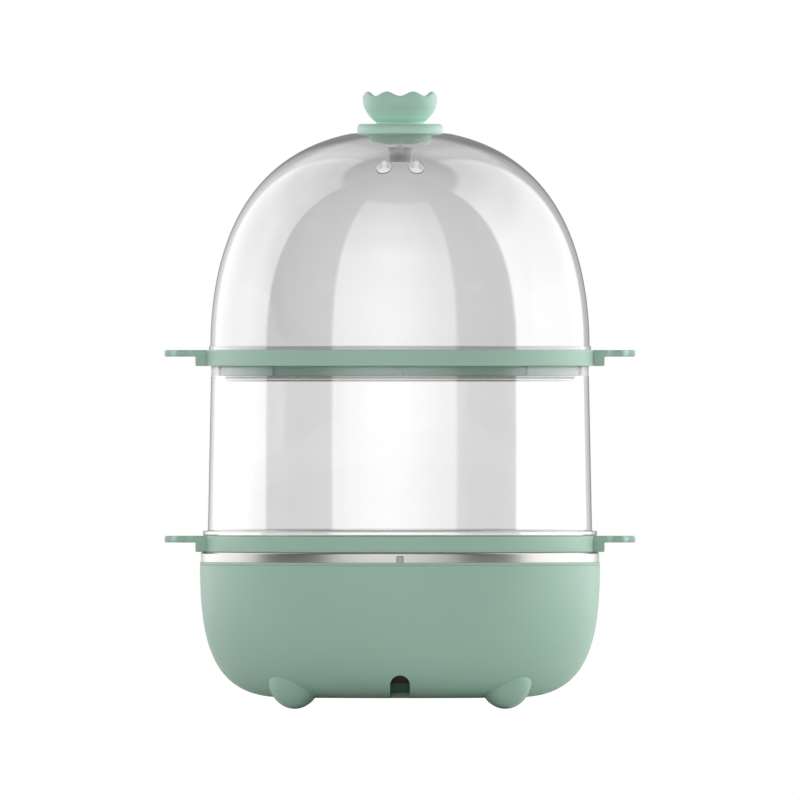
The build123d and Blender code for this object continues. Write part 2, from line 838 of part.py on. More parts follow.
with BuildPart() as strap_screws:
    with BuildSketch(Plane.XY.offset(heater_level - strap_thickness - strap_head_height)):
        with GridLocations(2 * strap_screw_offset, 1, 2, 1):
            Circle(strap_head_radius)
    extrude(amount=strap_head_height)
    with BuildSketch(Plane.XY.offset(heater_level - strap_thickness)):
        with GridLocations(2 * strap_screw_offset, 1, 2, 1):
            Circle(strap_screw_radius)
    extrude(amount=strap_screw_length)
write(strap_screws.part, "strap_screws")

with BuildPart() as thermal_fuse:
    with BuildSketch(Plane.XZ.offset(-fuse_length / 2)):
        with Locations((-fuse_offset, fuse_level)):
            Circle(fuse_radius)
    extrude(amount=fuse_length)
write(thermal_fuse.part, "thermal_fuse")

with BuildPart() as fuse_clip:
    with BuildSketch(Plane.XZ.offset(-clip_width / 2)):
        with Locations((-fuse_offset, fuse_level)):
            Circle(fuse_radius + fuse_clearance + clip_wall)
        with Locations((-fuse_offset, heater_level)):
            Rectangle(
                2 * (fuse_radius + fuse_clearance + clip_wall),
                heater_level - fuse_level,
                align=(Align.CENTER, Align.MAX),
            )
        with Locations((-fuse_offset, fuse_level)):
            Circle(fuse_radius + fuse_clearance, mode=Mode.SUBTRACT)
        with Locations((-fuse_offset, heater_level)):
            Rectangle(
                2 * (fuse_radius + fuse_clearance),
                heater_level - fuse_level,
                align=(Align.CENTER, Align.MAX),
                mode=Mode.SUBTRACT,
            )
            Rectangle(4 * fuse_radius, 2 * fuse_radius, align=(Align.CENTER, Align.MIN), mode=Mode.SUBTRACT)
    extrude(amount=clip_width)
write(fuse_clip.part, "fuse_clip")

with BuildPart() as terminal_block:
    with Locations((0, -block_offset, cover_top)):
        Box(block_width, block_depth, block_height, align=(Align.CENTER, Align.CENTER, Align.MIN))
    fillet(terminal_block.edges().filter_by(Axis.Z), block_edge)
    with BuildSketch(Plane.XY.offset(block_top)):
        with Locations((0, -block_offset)):
            with GridLocations(pole_spacing, 1, 3, 1):
                Circle(terminal_screw_radius + screw_clearance)
    extrude(amount=-terminal_screw_height, mode=Mode.SUBTRACT)
write(terminal_block.part, "terminal_block")

with BuildPart() as terminal_screws:
    with BuildSketch(Plane.XY.offset(block_top)):
        with Locations((0, -block_offset)):
            with GridLocations(pole_spacing, 1, 3, 1):
                Circle(terminal_screw_radius)
    extrude(amount=-terminal_screw_height)
    with BuildSketch(Plane.XY.offset(block_top)):
        with Locations((0, -block_offset)):
            with GridLocations(pole_spacing, 1, 3, 1):
                Rectangle(2 * terminal_screw_radius, terminal_slot)
    extrude(amount=-terminal_slot, mode=Mode.SUBTRACT)
write(terminal_screws.part, "terminal_screws")

with BuildPart() as power_button:
    with BuildSketch(front.offset(guide_face)):
        Circle(button_radius)
    extrude(amount=base_radius - guide_face)
    add(shell_solid(-button_proud), mode=Mode.INTERSECT)
    with BuildSketch(front.offset(guide_face)):
        Circle(button_radius + flange_overlap)
    extrude(amount=-flange_thickness)
    with BuildSketch(front.offset(guide_face - flange_thickness)):
        Circle(stem_radius)
    extrude(amount=switch_face - stem_reach - guide_face + flange_thickness)
write(power_button.part, "power_button")

with BuildPart() as button_spring:
    with BuildLine():
        coil = Helix(spring_pitch, spring_pitch * spring_turns, spring_radius)
    with BuildSketch(Plane(origin=coil @ 0, z_dir=coil % 0)):
        Circle(spring_wire)
    sweep(is_frenet=True)
spring_place = front.offset(switch_face + spring_wire).location
button_coil = button_spring.part.moved(spring_place)
write(button_coil, "button_spring")

with BuildPart() as switch_body:
    with BuildSketch(front.offset(switch_face)):
        Rectangle(switch_width, switch_height)
    extrude(amount=-switch_depth)
    with BuildSketch(front.offset(switch_face)):
        Rectangle(ear_width, ear_height)
    extrude(amount=-ear_thickness)
    with BuildSketch(front.offset(switch_face)):
        with GridLocations(2 * ear_hole_offset, 1, 2, 1):
            Circle(ear_screw_radius + screw_clearance)
    extrude(amount=-ear_thickness, mode=Mode.SUBTRACT)
    with BuildSketch(front.offset(switch_face)):
        Circle(stem_radius + stem_clearance)
    extrude(amount=-(stem_reach + button_travel + stem_clearance), mode=Mode.SUBTRACT)
write(switch_body.part, "switch_body")

with BuildPart() as switch_screws:
    with BuildSketch(front.offset(switch_face - ear_thickness)):
        with GridLocations(2 * ear_hole_offset, 1, 2, 1):
            Circle(ear_head_radius)
    extrude(amount=-ear_head_height)
    with BuildSketch(front.offset(switch_face - ear_thickness)):
        with GridLocations(2 * ear_hole_offset, 1, 2, 1):
            Circle(ear_screw_radius)
    extrude(amount=ear_screw_length)
write(switch_screws.part, "switch_screws")

with BuildPart() as indicator_lens:
    with BuildSketch(front_lens.offset(lens_flange_face)):
        Circle(lens_radius)
    extrude(amount=base_radius - lens_flange_face)
    add(shell_solid(0), mode=Mode.INTERSECT)
    with BuildSketch(front_lens.offset(lens_flange_face)):
        Circle(lens_flange_radius)
    extrude(amount=-lens_flange_thickness)
write(indicator_lens.part, "indicator_lens")

with BuildPart() as indicator_lamp:
    with BuildSketch(front_lens.offset(lens_flange_face - lens_flange_thickness)):
        Circle(lamp_radius)
    extrude(amount=-lamp_length)
write(indicator_lamp.part, "indicator_lamp")


def lead(route, bend, radius):
    # One insulated wire along straight runs joined by arcs.
    with BuildPart() as wire:
        with BuildLine() as path:
            FilletPolyline(*route, radius=bend)
        with BuildSketch(Plane(origin=path.line @ 0, z_dir=path.line % 0)):
            Circle(radius)
        sweep()
    return wire.part


block_back = -block_offset + block_depth / 2
blade_foot = thermostat_base - blade_length
switch_back = switch_face - switch_depth
pin_foot = heater_level - pin_radius
switch_wire_level = button_level - switch_wire_drop
thermostat_wire_level = blade_foot - thermostat_wire_dip
heater_wire_level = blade_foot - heater_wire_dip
live_to_switch = [
    (pole_spacing, block_back, live_wire_level),
    (pole_spacing, 10, live_wire_level),
    (6, 30, switch_wire_level),
    (6, switch_back, switch_wire_level),
]
switch_to_thermostat = [
    (-6, switch_back, switch_wire_level),
    (-6, 30, switch_wire_level),
    (-blade_offset, 8, thermostat_wire_level),
    (-blade_offset, 0, thermostat_wire_level),
    (-blade_offset, 0, blade_foot),
]
thermostat_to_heater = [
    (blade_offset, 0, blade_foot),
    (blade_offset, 0, heater_wire_level),
    (pin_x, -10, heater_wire_level),
    (pin_x, pin_y, heater_wire_level + heater_wire_rise),
    (pin_x, pin_y, pin_foot),
]
heater_to_fuse = [
    (-pin_x, pin_y, pin_foot),
    (-pin_x, pin_y, blade_foot - fuse_wire_dip),
    (-16, -14, blade_foot - fuse_wire_dip),
    (-fuse_offset, -12, fuse_level),
    (-fuse_offset, -fuse_length / 2, fuse_level),
]
fuse_to_neutral = [
    (-fuse_offset, fuse_length / 2, fuse_level),
    (-fuse_offset, 12, fuse_level),
    (-20, 12, blade_foot - neutral_wire_dip),
    (-pole_spacing, -4, neutral_wire_level),
    (-pole_spacing, block_back, neutral_wire_level),
]
earth_route = [
    (0, block_back, earth_wire_level),
    (0, -9, earth_wire_level),
    (20, -5, earth_wire_level),
    (heater_land, -4, heater_level - earth_wire_dip),
    (heater_land, -4, heater_level),
]
lamp_middle = lens_flange_face - lens_flange_thickness - lamp_length / 2
lamp_bend = lens_level - lamp_lead_depth
lamp_route = [
    (lamp_middle, lens_level - lamp_radius),
    (lamp_middle, lens_level - lamp_lead_drop),
    ((lamp_middle + switch_face) / 2, lamp_bend),
    (switch_face - ear_thickness, lamp_bend),
    (switch_face - ear_thickness, button_level + switch_height / 2),
]
with BuildPart() as lead_wires:
    add(lead(live_to_switch, 6, wire_radius))
    add(lead(switch_to_thermostat, 3, wire_radius))
    add(lead(thermostat_to_heater, 2.5, wire_radius))
    add(lead(heater_to_fuse, 2.5, wire_radius))
    add(lead(fuse_to_neutral, 3, wire_radius))
write(lead_wires.part, "lead_wires")

with BuildPart() as earth_wire:
    add(lead(earth_route, 4, wire_radius))
write(earth_wire.part, "earth_wire")

with BuildPart() as lamp_leads:
    for side in (-lamp_lead_offset, lamp_lead_offset):
        add(lead([(side, y, z) for y, z in lamp_route], 0.8, lamp_lead_radius))
write(lamp_leads.part, "lamp_leads")
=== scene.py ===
# Looks for a two-tier egg cooker: sage green plastic, clear plastic and a steel dish.
# Every length in the dictionaries is in millimetres; mm turns it to metres.
import json
import math

import bpy
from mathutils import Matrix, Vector


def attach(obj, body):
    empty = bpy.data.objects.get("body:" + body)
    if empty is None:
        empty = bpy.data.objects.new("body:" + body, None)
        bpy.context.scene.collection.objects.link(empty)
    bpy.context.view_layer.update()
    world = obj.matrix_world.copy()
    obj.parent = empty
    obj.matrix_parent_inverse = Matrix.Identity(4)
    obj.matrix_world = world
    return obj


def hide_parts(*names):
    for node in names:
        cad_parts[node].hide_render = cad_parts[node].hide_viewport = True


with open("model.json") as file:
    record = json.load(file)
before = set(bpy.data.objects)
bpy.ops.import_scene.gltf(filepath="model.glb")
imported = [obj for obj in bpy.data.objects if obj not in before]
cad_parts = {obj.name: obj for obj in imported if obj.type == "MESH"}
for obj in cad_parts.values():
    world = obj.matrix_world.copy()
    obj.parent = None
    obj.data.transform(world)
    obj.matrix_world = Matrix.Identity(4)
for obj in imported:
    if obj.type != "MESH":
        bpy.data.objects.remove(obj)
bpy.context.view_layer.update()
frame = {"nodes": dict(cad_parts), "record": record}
mm = 0.001
print("frame loaded:", len(frame["nodes"]), "nodes")

# a long lens far away, level with the middle of the object
camera = {"lens": 1600.0, "sensor": 36.0, "viewWidth": 304.0, "centreHeight": 117.0, "clipStart": 1000.0}
studio = {
    "floorSize": 1400.0,
    "floorColour": "#F4F4F3",
    "floorGlow": 1.08,         # brightness of the floor to look at
    "floorGlowShare": 0.92,    # the rest shows the object's shadow
    "fill": 0.53,              # world light on matt surfaces
    "lampAim": (0, 0, 100),
    "lamps": [
        # name, place, size, power
        ("frontKey", (-250, -1100, 200), 900, 4.3),
        ("rightLamp", (1000, 350, 350), 600, 8.5),
        ("leftLamp", (-1000, 300, 350), 600, 3.5),
    ],
    # light boxes round the object: degrees from the camera's side, positive to the right, and brightness
    "boxes": [
        (-173, 0.03), (-165, 0.5), (-157, 1.0), (-149, 2.2), (-112, 1.9), (-91, 1.4), (-88, 0.1), (-60, 0.08),
        (-43, 0.1), (-41, 1.3), (-8, 1.6), (34, 0.95), (36, 0.05), (60, 0.1), (74, 0.3), (77, 2.3),
        (147, 2.3), (155, 0.75), (163, 0.42), (171, 0.03),
    ],
    "boxFull": 4.0,            # brightness that a full level of the ramp stands for
    # degrees above the table, and the share of the boxes' light
    "height": [
        (-60, 0.6), (-10, 1.0), (10, 1.0), (28, 0.92), (43, 0.68), (62, 0.42), (67, 0.05), (90, 0.04),
    ],
    # the backdrop behind the object, by degrees above the table
    "back": [(-90, 0.34), (12, 0.29), (24, 0.36), (36, 0.85), (54, 0.75), (68, 0.04)],
    "backEdge": (142, 164),    # degrees from the camera's side between which the backdrop comes in
    "ceiling": 0.03,           # least light that a mirror shows
}


# general helpers
def hexColour(text):
    # sRGB hex to the linear values that sockets want
    channels = []
    for start in (1, 3, 5):
        value = int(text[start:start + 2], 16) / 255
        if value <= 0.04045:
            channels.append(value / 12.92)
        else:
            channels.append(((value + 0.055) / 1.055) ** 2.4)
    return (*channels, 1.0)


def metres(point):
    return Vector([value * mm for value in point])


def turned(radius, degrees):
    # x and y of a point on a circle
    return radius * math.cos(math.radians(degrees)), radius * math.sin(math.radians(degrees))


def addNode(tree, kind, settings=None, links=None):
    node = tree.nodes.new(kind)
    for name, value in (settings or {}).items():
        if isinstance(name, int) or name in node.inputs:
            node.inputs[name].default_value = value
        else:
            setattr(node, name, value)
    for name, source in (links or {}).items():
        tree.links.new(source, node.inputs[name])
    return node


def deselectAll():
    if bpy.context.mode != "OBJECT":
        bpy.ops.object.mode_set(mode="OBJECT")
    bpy.ops.object.select_all(action="DESELECT")


def makeActive(obj):
    deselectAll()
    obj.select_set(True)
    bpy.context.view_layer.objects.active = obj


def leaveEdit():
    bpy.ops.object.mode_set(mode="OBJECT")


def applyModifiers(obj):
    makeActive(obj)
    for modifier in list(obj.modifiers):
        bpy.ops.object.modifier_apply(modifier=modifier.name)


def smooth(obj, degrees=35):
    makeActive(obj)
    bpy.ops.object.shade_smooth_by_angle(angle=math.radians(degrees))


def settle(obj):
    # piece's object at the origin, unturned and unscaled, with its place in its mesh
    makeActive(obj)
    bpy.ops.object.transform_apply(location=True, rotation=True, scale=True)


def cubicPoints(p0, p1, p2, p3, steps):
    points = []
    for index in range(steps + 1):
        t = index / steps
        a, b, c, d = (1 - t) ** 3, 3 * t * (1 - t) ** 2, 3 * t * t * (1 - t), t ** 3
        points.append((
            a * p0[0] + b * p1[0] + c * p2[0] + d * p3[0],
            a * p0[1] + b * p1[1] + c * p2[1] + d * p3[1],
        ))
    return points


def quadPoints(p0, p1, p2, steps):
    third = [tuple(a + (b - a) * 2 / 3 for a, b in zip(end, p1)) for end in (p0, p2)]
    return cubicPoints(p0, third[0], third[1], p2, steps)


def roundCorners(corners, steps=5):
    # corners are (radius from axis, height) or (radius, height, rounding)
    points = []
    for index, corner in enumerate(corners):
        here = Vector(corner[:2])
        rounding = corner[2] if len(corner) > 2 else 0
        if not rounding:
            points.append(tuple(here))
            continue
        before = (Vector(corners[index - 1][:2]) - here).normalized()
        after = (Vector(corners[(index + 1) % len(corners)][:2]) - here).normalized()
        half = before.angle(after) / 2
        setback = rounding / math.tan(half)
        middle = here + (before + after).normalized() * rounding / math.sin(half)
        first = here + before * setback - middle
        last = here + after * setback - middle
        turn = first.angle(last)
        for step in range(steps + 1):
            t = step / steps
            blend = (first * math.sin((1 - t) * turn) + last * math.sin(t * turn)) / math.sin(turn)
            points.append(tuple(middle + blend))
    return points


def lonePoint(name, point):
    # one vertex, left in edit mode
    deselectAll()
    bpy.ops.mesh.primitive_plane_add(size=mm, location=(0, 0, 0))
    piece = bpy.context.object
    piece.name = name
    bpy.ops.object.mode_set(mode="EDIT")
    bpy.ops.mesh.merge(type="CENTER")
    bpy.ops.transform.translate(value=metres(point))
    return piece


def drawOn(here, points):
    # extrudes the selected vertex from point to point
    here = Vector(here)
    for point in points:
        there = Vector(point)
        bpy.ops.mesh.extrude_region_move(TRANSFORM_OT_translate={"value": (there - here) * mm})
        here = there


def mergeAll():
    bpy.ops.mesh.select_all(action="SELECT")
    bpy.ops.mesh.remove_doubles(threshold=0.002 * mm)


def closeMesh():
    mergeAll()
    bpy.ops.mesh.normals_make_consistent(inside=False)
    leaveEdit()


def spinPiece(name, profile, steps=180, middle=(0, 0)):
    # a section (radius, height) spun round the upright axis
    places = [(middle[0] + radius, middle[1], height) for radius, height in profile]
    piece = lonePoint(name, places[0])
    endsOnAxis = profile[0][0] == 0 and profile[-1][0] == 0
    drawOn(places[0], places[1:] if endsOnAxis else places[1:] + places[:1])
    bpy.ops.mesh.select_all(action="SELECT")
    centre = metres((*middle, 0))
    bpy.ops.mesh.spin(steps=steps, angle=math.tau, center=centre, axis=(0, 0, 1))
    closeMesh()
    return piece


def outlinePiece(name, outline, low, high):
    # a flat outline (x, y) drawn up from low to high
    places = [(x, y, low) for x, y in outline]
    piece = lonePoint(name, places[0])
    drawOn(places[0], places[1:] + places[:1])
    mergeAll()
    bpy.ops.mesh.edge_face_add()
    bpy.ops.mesh.extrude_region_move(TRANSFORM_OT_translate={"value": (0, 0, (high - low) * mm)})
    closeMesh()
    return piece


def rodPiece(name, radius, start, end, steps=64):
    # a round bar from start to end
    first, last = Vector(start), Vector(end)
    along = last - first
    deselectAll()
    bpy.ops.mesh.primitive_cylinder_add(
        vertices=steps, radius=radius * mm, depth=along.length * mm, location=(first + last) / 2 * mm,
        rotation=along.to_track_quat("Z", "Y").to_euler(),
    )
    piece = bpy.context.object
    piece.name = name
    settle(piece)
    return piece


def boxPiece(name, low, high):
    deselectAll()
    bpy.ops.mesh.primitive_cube_add(size=1, location=[(a + b) / 2 * mm for a, b in zip(low, high)])
    piece = bpy.context.object
    piece.name = name
    piece.scale = [(b - a) * mm for a, b in zip(low, high)]
    settle(piece)
    return piece


def roundEdges(piece, width, degrees=50, segments=4):
    bevel = piece.modifiers.new("edge", "BEVEL")
    bevel.width = width * mm
    bevel.segments = segments
    bevel.limit_method = "ANGLE"
    bevel.angle_limit = math.radians(degrees)
    applyModifiers(piece)


def gather(name, pieces):
    # several loose pieces as one object
    deselectAll()
    for piece in pieces:
        piece.select_set(True)
    bpy.context.view_layer.objects.active = pieces[0]
    bpy.ops.object.join()
    pieces[0].name = name
    return pieces[0]


def combine(piece, other, operation):
    # the other piece is used up
    modifier = piece.modifiers.new("combine", "BOOLEAN")
    modifier.operation = operation
    modifier.solver = "EXACT"
    modifier.object = other
    applyModifiers(piece)
    bpy.data.objects.remove(other)


def cutAway(piece, cutter):
    combine(piece, cutter, "DIFFERENCE")


def joinOn(piece, added):
    combine(piece, added, "UNION")


def polishedCopy(nodeName, pieceName, edge, degrees=35):
    # a merged copy of a moulded piece, with its sharp edges broken as a mould leaves them
    deselectAll()
    piece = frame["nodes"][nodeName].copy()
    piece.data = frame["nodes"][nodeName].data.copy()
    piece.name = pieceName
    piece.parent = None
    for key in list(piece.keys()):
        del piece[key]
    bpy.context.scene.collection.objects.link(piece)
    makeActive(piece)
    bpy.ops.object.mode_set(mode="EDIT")
    bpy.ops.mesh.select_all(action="SELECT")
    bpy.ops.mesh.customdata_custom_splitnormals_clear()
    bpy.ops.mesh.remove_doubles(threshold=0.005 * mm)
    bpy.ops.mesh.dissolve_limited(angle_limit=math.radians(0.5))
    leaveEdit()
    roundEdges(piece, edge, degrees, 3)
    smooth(piece, degrees)
    return piece


def place(piece, body, nodeName, material, slotName):
    # rides on its body, stands for its CAD node and takes its material
    piece.data.materials.clear()
    piece.data.materials.append(material)
    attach(piece, body)
    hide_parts(nodeName)


def paintFaces(piece, extra, choose):
    # further materials, each face's picked by its centre (mm) and normal
    for material in extra:
        piece.data.materials.append(material)
    for face in piece.data.polygons:
        face.material_index = choose(face.center / mm, face.normal)


# camera, light and floor
def makeCamera():
    distance = camera["viewWidth"] * mm * camera["lens"] / camera["sensor"]
    data = bpy.data.cameras.new("camera")
    data.lens = camera["lens"]
    data.sensor_width = camera["sensor"]
    data.clip_start = camera["clipStart"] * mm
    data.clip_end = distance * 3
    obj = bpy.data.objects.new("camera", data)
    obj.location = (0, -distance, camera["centreHeight"] * mm)
    obj.rotation_euler = (math.pi / 2, 0, 0)
    bpy.context.scene.collection.objects.link(obj)
    bpy.context.scene.camera = obj


def setRamp(node, stops):
    # stops are (position, grey level) or (position, colour)
    node.color_ramp.interpolation = "EASE"
    elements = node.color_ramp.elements
    while len(elements) < len(stops):
        elements.new(1.0)
    for element, (position, value) in zip(elements, stops):
        element.position = position
        element.color = value if isinstance(value, tuple) else (value, value, value, 1)


def calc(tree, operation, *terms):
    # arithmetic on sockets and plain numbers
    node = tree.nodes.new("ShaderNodeMath")
    node.operation = operation
    for index, term in enumerate(terms):
        if isinstance(term, (int, float)):
            node.inputs[index].default_value = term
        else:
            tree.links.new(term, node.inputs[index])
    return node.outputs[0]


def makeWorld():
    # white to look at, and light boxes for glossy surfaces to mirror
    world = bpy.data.worlds.new("studioWorld")
    bpy.context.scene.world = world
    world.use_nodes = True
    tree = world.node_tree
    tree.nodes.clear()
    coords = addNode(tree, "ShaderNodeTexCoord")
    parts = addNode(tree, "ShaderNodeSeparateXYZ", {}, {0: coords.outputs["Generated"]})
    x, y, z = parts.outputs
    # turn runs from 0 to 1 once round the object, and lift from straight down to straight up
    turn = calc(tree, "ARCTAN2", x, calc(tree, "MULTIPLY", y, -1.0))
    turn = calc(tree, "MULTIPLY_ADD", turn, 0.5 / math.pi, 0.5)
    lift = calc(tree, "MULTIPLY_ADD", calc(tree, "ARCSINE", z), 1 / math.pi, 0.5)
    boxes = addNode(tree, "ShaderNodeValToRGB", {}, {"Fac": turn})
    setRamp(boxes, [(degrees / 360 + 0.5, value / studio["boxFull"]) for degrees, value in studio["boxes"]])
    height = addNode(tree, "ShaderNodeValToRGB", {}, {"Fac": lift})
    setRamp(height, [(degrees / 180 + 0.5, value) for degrees, value in studio["height"]])
    back = addNode(tree, "ShaderNodeValToRGB", {}, {"Fac": lift})
    setRamp(back, [(degrees / 180 + 0.5, value) for degrees, value in studio["back"]])
    first, last = studio["backEdge"]
    behind = addNode(
        tree, "ShaderNodeMapRange",
        {"interpolation_type": "SMOOTHSTEP", "From Min": first / 360, "From Max": last / 360},
        {0: calc(tree, "ABSOLUTE", calc(tree, "SUBTRACT", turn, 0.5))},
    )
    light = calc(tree, "MULTIPLY", boxes.outputs[0], height.outputs[0])
    light = calc(tree, "MULTIPLY_ADD", light, studio["boxFull"], studio["ceiling"])
    light = calc(tree, "MULTIPLY_ADD", behind.outputs[0], back.outputs[0], light)
    path = addNode(tree, "ShaderNodeLightPath")
    mirrored = addNode(tree, "ShaderNodeBackground", {"Color": (1, 1, 1, 1)}, {"Strength": light})
    fill = addNode(tree, "ShaderNodeBackground", {"Color": (1, 1, 1, 1), "Strength": studio["fill"]})
    white = addNode(tree, "ShaderNodeBackground", {"Color": (1, 1, 1, 1), "Strength": 1.0})
    lit = addNode(
        tree, "ShaderNodeMixShader", {},
        {0: path.outputs["Is Diffuse Ray"], 1: mirrored.outputs[0], 2: fill.outputs[0]},
    )
    unmirrored = calc(tree, "LESS_THAN", path.outputs["Glossy Depth"], 0.5)
    seen = calc(tree, "MULTIPLY", path.outputs["Is Transmission Ray"], unmirrored)
    seen = calc(tree, "MAXIMUM", seen, path.outputs["Is Camera Ray"])
    mixed = addNode(tree, "ShaderNodeMixShader", {}, {0: seen, 1: lit.outputs[0], 2: white.outputs[0]})
    addNode(tree, "ShaderNodeOutputWorld", {}, {"Surface": mixed.outputs[0]})


def makeFloor():
    # bright to look at, matt under the object's shadow
    deselectAll()
    bpy.ops.mesh.primitive_plane_add(size=studio["floorSize"] * mm, location=(0, 0, 0))
    floor = bpy.context.object
    floor.name = "studioFloor"
    material = bpy.data.materials.new("paleFloor")
    material.use_nodes = True
    tree = material.node_tree
    tree.nodes.clear()
    path = addNode(tree, "ShaderNodeLightPath")
    seen = calc(tree, "MAXIMUM", path.outputs["Is Camera Ray"], path.outputs["Is Transmission Ray"])
    share = calc(tree, "MULTIPLY", seen, studio["floorGlowShare"])
    paint = addNode(tree, "ShaderNodeBsdfDiffuse", {"Color": hexColour(studio["floorColour"])})
    glow = addNode(tree, "ShaderNodeEmission", {"Color": (1, 1, 1, 1), "Strength": studio["floorGlow"]})
    mixed = addNode(tree, "ShaderNodeMixShader", {}, {0: share, 1: paint.outputs[0], 2: glow.outputs[0]})
    addNode(tree, "ShaderNodeOutputMaterial", {}, {"Surface": mixed.outputs[0]})
    floor.data.materials.append(material)


def makeLamps():
    for name, spot, size, power in studio["lamps"]:
        data = bpy.data.lights.new(name, "AREA")
        data.size = size * mm
        data.energy = power
        obj = bpy.data.objects.new(name, data)
        obj.location = metres(spot)
        aim = metres(studio["lampAim"]) - metres(spot)
        obj.rotation_euler = aim.to_track_quat("-Z", "Y").to_euler()
        obj.visible_camera = False
        obj.visible_glossy = False
        obj.visible_transmission = False
        bpy.context.scene.collection.objects.link(obj)


bpy.context.scene.view_settings.view_transform = "Standard"
makeCamera()
makeWorld()
makeFloor()
makeLamps()
print("camera, lamps and floor made")


# materials
def newMaterial(name):
    material = bpy.data.materials.new(name)
    material.use_nodes = True
    tree = material.node_tree
    tree.nodes.clear()
    shader = addNode(tree, "ShaderNodeBsdfPrincipled")
    addNode(tree, "ShaderNodeOutputMaterial", {}, {"Surface": shader.outputs[0]})
    coords = addNode(tree, "ShaderNodeTexCoord")
    return material, tree, shader, coords.outputs["Object"]


def roughen(tree, shader, pattern, least, most, strength, depth):
    # the pattern moves the roughness from least to most and raises the surface by depth (mm)
    rough = addNode(tree, "ShaderNodeMapRange", {"To Min": least, "To Max": most}, {0: pattern})
    bump = addNode(
        tree, "ShaderNodeBump", {"Strength": strength, "Distance": depth * mm}, {"Height": pattern}
    )
    tree.links.new(rough.outputs[0], shader.inputs["Roughness"])
    tree.links.new(bump.outputs[0], shader.inputs["Normal"])


def sagePolypropylene(name, colour, deep, paintedLightLevels=()):
    # polypropylene from a spark-eroded mould: satin, with a grain too fine to see one by one
    look = {"roughness": 0.42, "spread": 0.03, "grain": 0.35, "grainDepth": 0.02, "cloud": 60.0, "ior": 1.49}
    material, tree, shader, coords = newMaterial(name)
    cloud = addNode(
        tree, "ShaderNodeTexNoise", {"Scale": 1 / (look["cloud"] * mm), "Detail": 2.0}, {"Vector": coords}
    )
    tint = addNode(
        tree, "ShaderNodeMix", {"data_type": "RGBA", 6: hexColour(deep), 7: hexColour(colour)},
        {0: cloud.outputs["Fac"]},
    )
    shade = tint.outputs[2]
    if paintedLightLevels:
        # painted light and shade by height: colours made paler where the piece would otherwise sit in shade
        foot, top = paintedLightLevels[0][0] * mm, paintedLightLevels[-1][0] * mm
        parts = addNode(tree, "ShaderNodeSeparateXYZ", {}, {0: coords})
        lift = calc(tree, "MULTIPLY_ADD", parts.outputs[2], 1 / (top - foot), -foot / (top - foot))
        ramp = addNode(tree, "ShaderNodeValToRGB", {}, {"Fac": lift})
        setRamp(ramp, [((height * mm - foot) / (top - foot), hexColour(text)) for height, text in paintedLightLevels])
        shade = ramp.outputs[0]
    tree.links.new(shade, shader.inputs["Base Color"])
    grain = addNode(
        tree, "ShaderNodeTexNoise", {"Scale": 1 / (look["grain"] * mm), "Detail": 1.0}, {"Vector": coords}
    )
    least, most = look["roughness"] - look["spread"], look["roughness"] + look["spread"]
    roughen(tree, shader, grain.outputs["Fac"], least, most, 0.05, look["grainDepth"])
    shader.inputs["IOR"].default_value = look["ior"]
    shader.inputs["Specular IOR Level"].default_value = 0.35
    return material


def clearStyrene(name, mirror, farMirror, tint, farTint, slant, roughness=0.01):
    # clear styrene copolymer, thin walls from a polished mould: the outer face mirrors for the whole wall
    # its ior is above the plastic's 1.57, for the strong mirror that thick moulded walls show
    look = {"ior": 1.9, "wave": 22.0, "waveDepth": 0.02, "leastSquare": 0.12}
    material, tree, shader, coords = newMaterial(name)
    wave = addNode(
        tree, "ShaderNodeTexNoise", {"Scale": 1 / (look["wave"] * mm), "Detail": 0.0}, {"Vector": coords}
    )
    bump = addNode(
        tree, "ShaderNodeBump", {"Strength": 0.04, "Distance": look["waveDepth"] * mm},
        {"Height": wave.outputs["Fac"]},
    )
    side = addNode(tree, "ShaderNodeNewGeometry").outputs["Backfacing"]
    # seen from inside, the face mirrors at the same angles as from outside, but less
    ior = calc(tree, "MULTIPLY_ADD", side, 1 / look["ior"] - look["ior"], look["ior"])
    face = addNode(tree, "ShaderNodeFresnel", {}, {"IOR": ior}).outputs[0]
    share = calc(tree, "MULTIPLY_ADD", side, farMirror - mirror, mirror)
    # a wall's two faces together mirror 2f / (1 + f), where one mirrors f
    wall = calc(tree, "DIVIDE", calc(tree, "MULTIPLY", face, 2.0), calc(tree, "ADD", face, 1.0))
    wall = calc(tree, "MULTIPLY", wall, share)
    # a slanted path through the wall is longer and so darker
    facing = addNode(tree, "ShaderNodeLayerWeight", {"Blend": 0.5}).outputs["Facing"]
    square = calc(tree, "MAXIMUM", calc(tree, "SUBTRACT", 1.0, facing), look["leastSquare"])
    level = calc(tree, "MULTIPLY_ADD", side, farTint - tint, tint)
    level = calc(tree, "POWER", level, calc(tree, "POWER", square, -slant))
    through = addNode(tree, "ShaderNodeBsdfTransparent", {}, {"Color": level})
    shader.inputs["Base Color"].default_value = (1, 1, 1, 1)
    shader.inputs["Metallic"].default_value = 1.0
    shader.inputs["Roughness"].default_value = roughness
    tree.links.new(bump.outputs[0], shader.inputs["Normal"])
    mixed = addNode(tree, "ShaderNodeMixShader", {}, {0: wall, 1: through.outputs[0], 2: shader.outputs[0]})
    tree.links.new(mixed.outputs[0], tree.nodes["Material Output"].inputs["Surface"])
    return material


def pressedSteel():
    # pressed stainless sheet, turned with fine abrasive: soft rings of scratches
    look = {"colour": "#B9B6B3", "roughness": 0.3, "spread": 0.06, "ring": 0.25, "ringDepth": 0.01}
    material, tree, shader, coords = newMaterial("pressedSteel")
    stretch = addNode(
        tree, "ShaderNodeMapping", {"Scale": (4.0, 4.0, 1 / (look["ring"] * mm))}, {"Vector": coords}
    )
    rings = addNode(
        tree, "ShaderNodeTexNoise", {"Scale": 1.0, "Detail": 3.0}, {"Vector": stretch.outputs[0]}
    )
    least, most = look["roughness"] - look["spread"], look["roughness"] + look["spread"]
    roughen(tree, shader, rings.outputs["Fac"], least, most, 0.08, look["ringDepth"])
    shader.inputs["Base Color"].default_value = hexColour(look["colour"])
    shader.inputs["Metallic"].default_value = 1.0
    return material


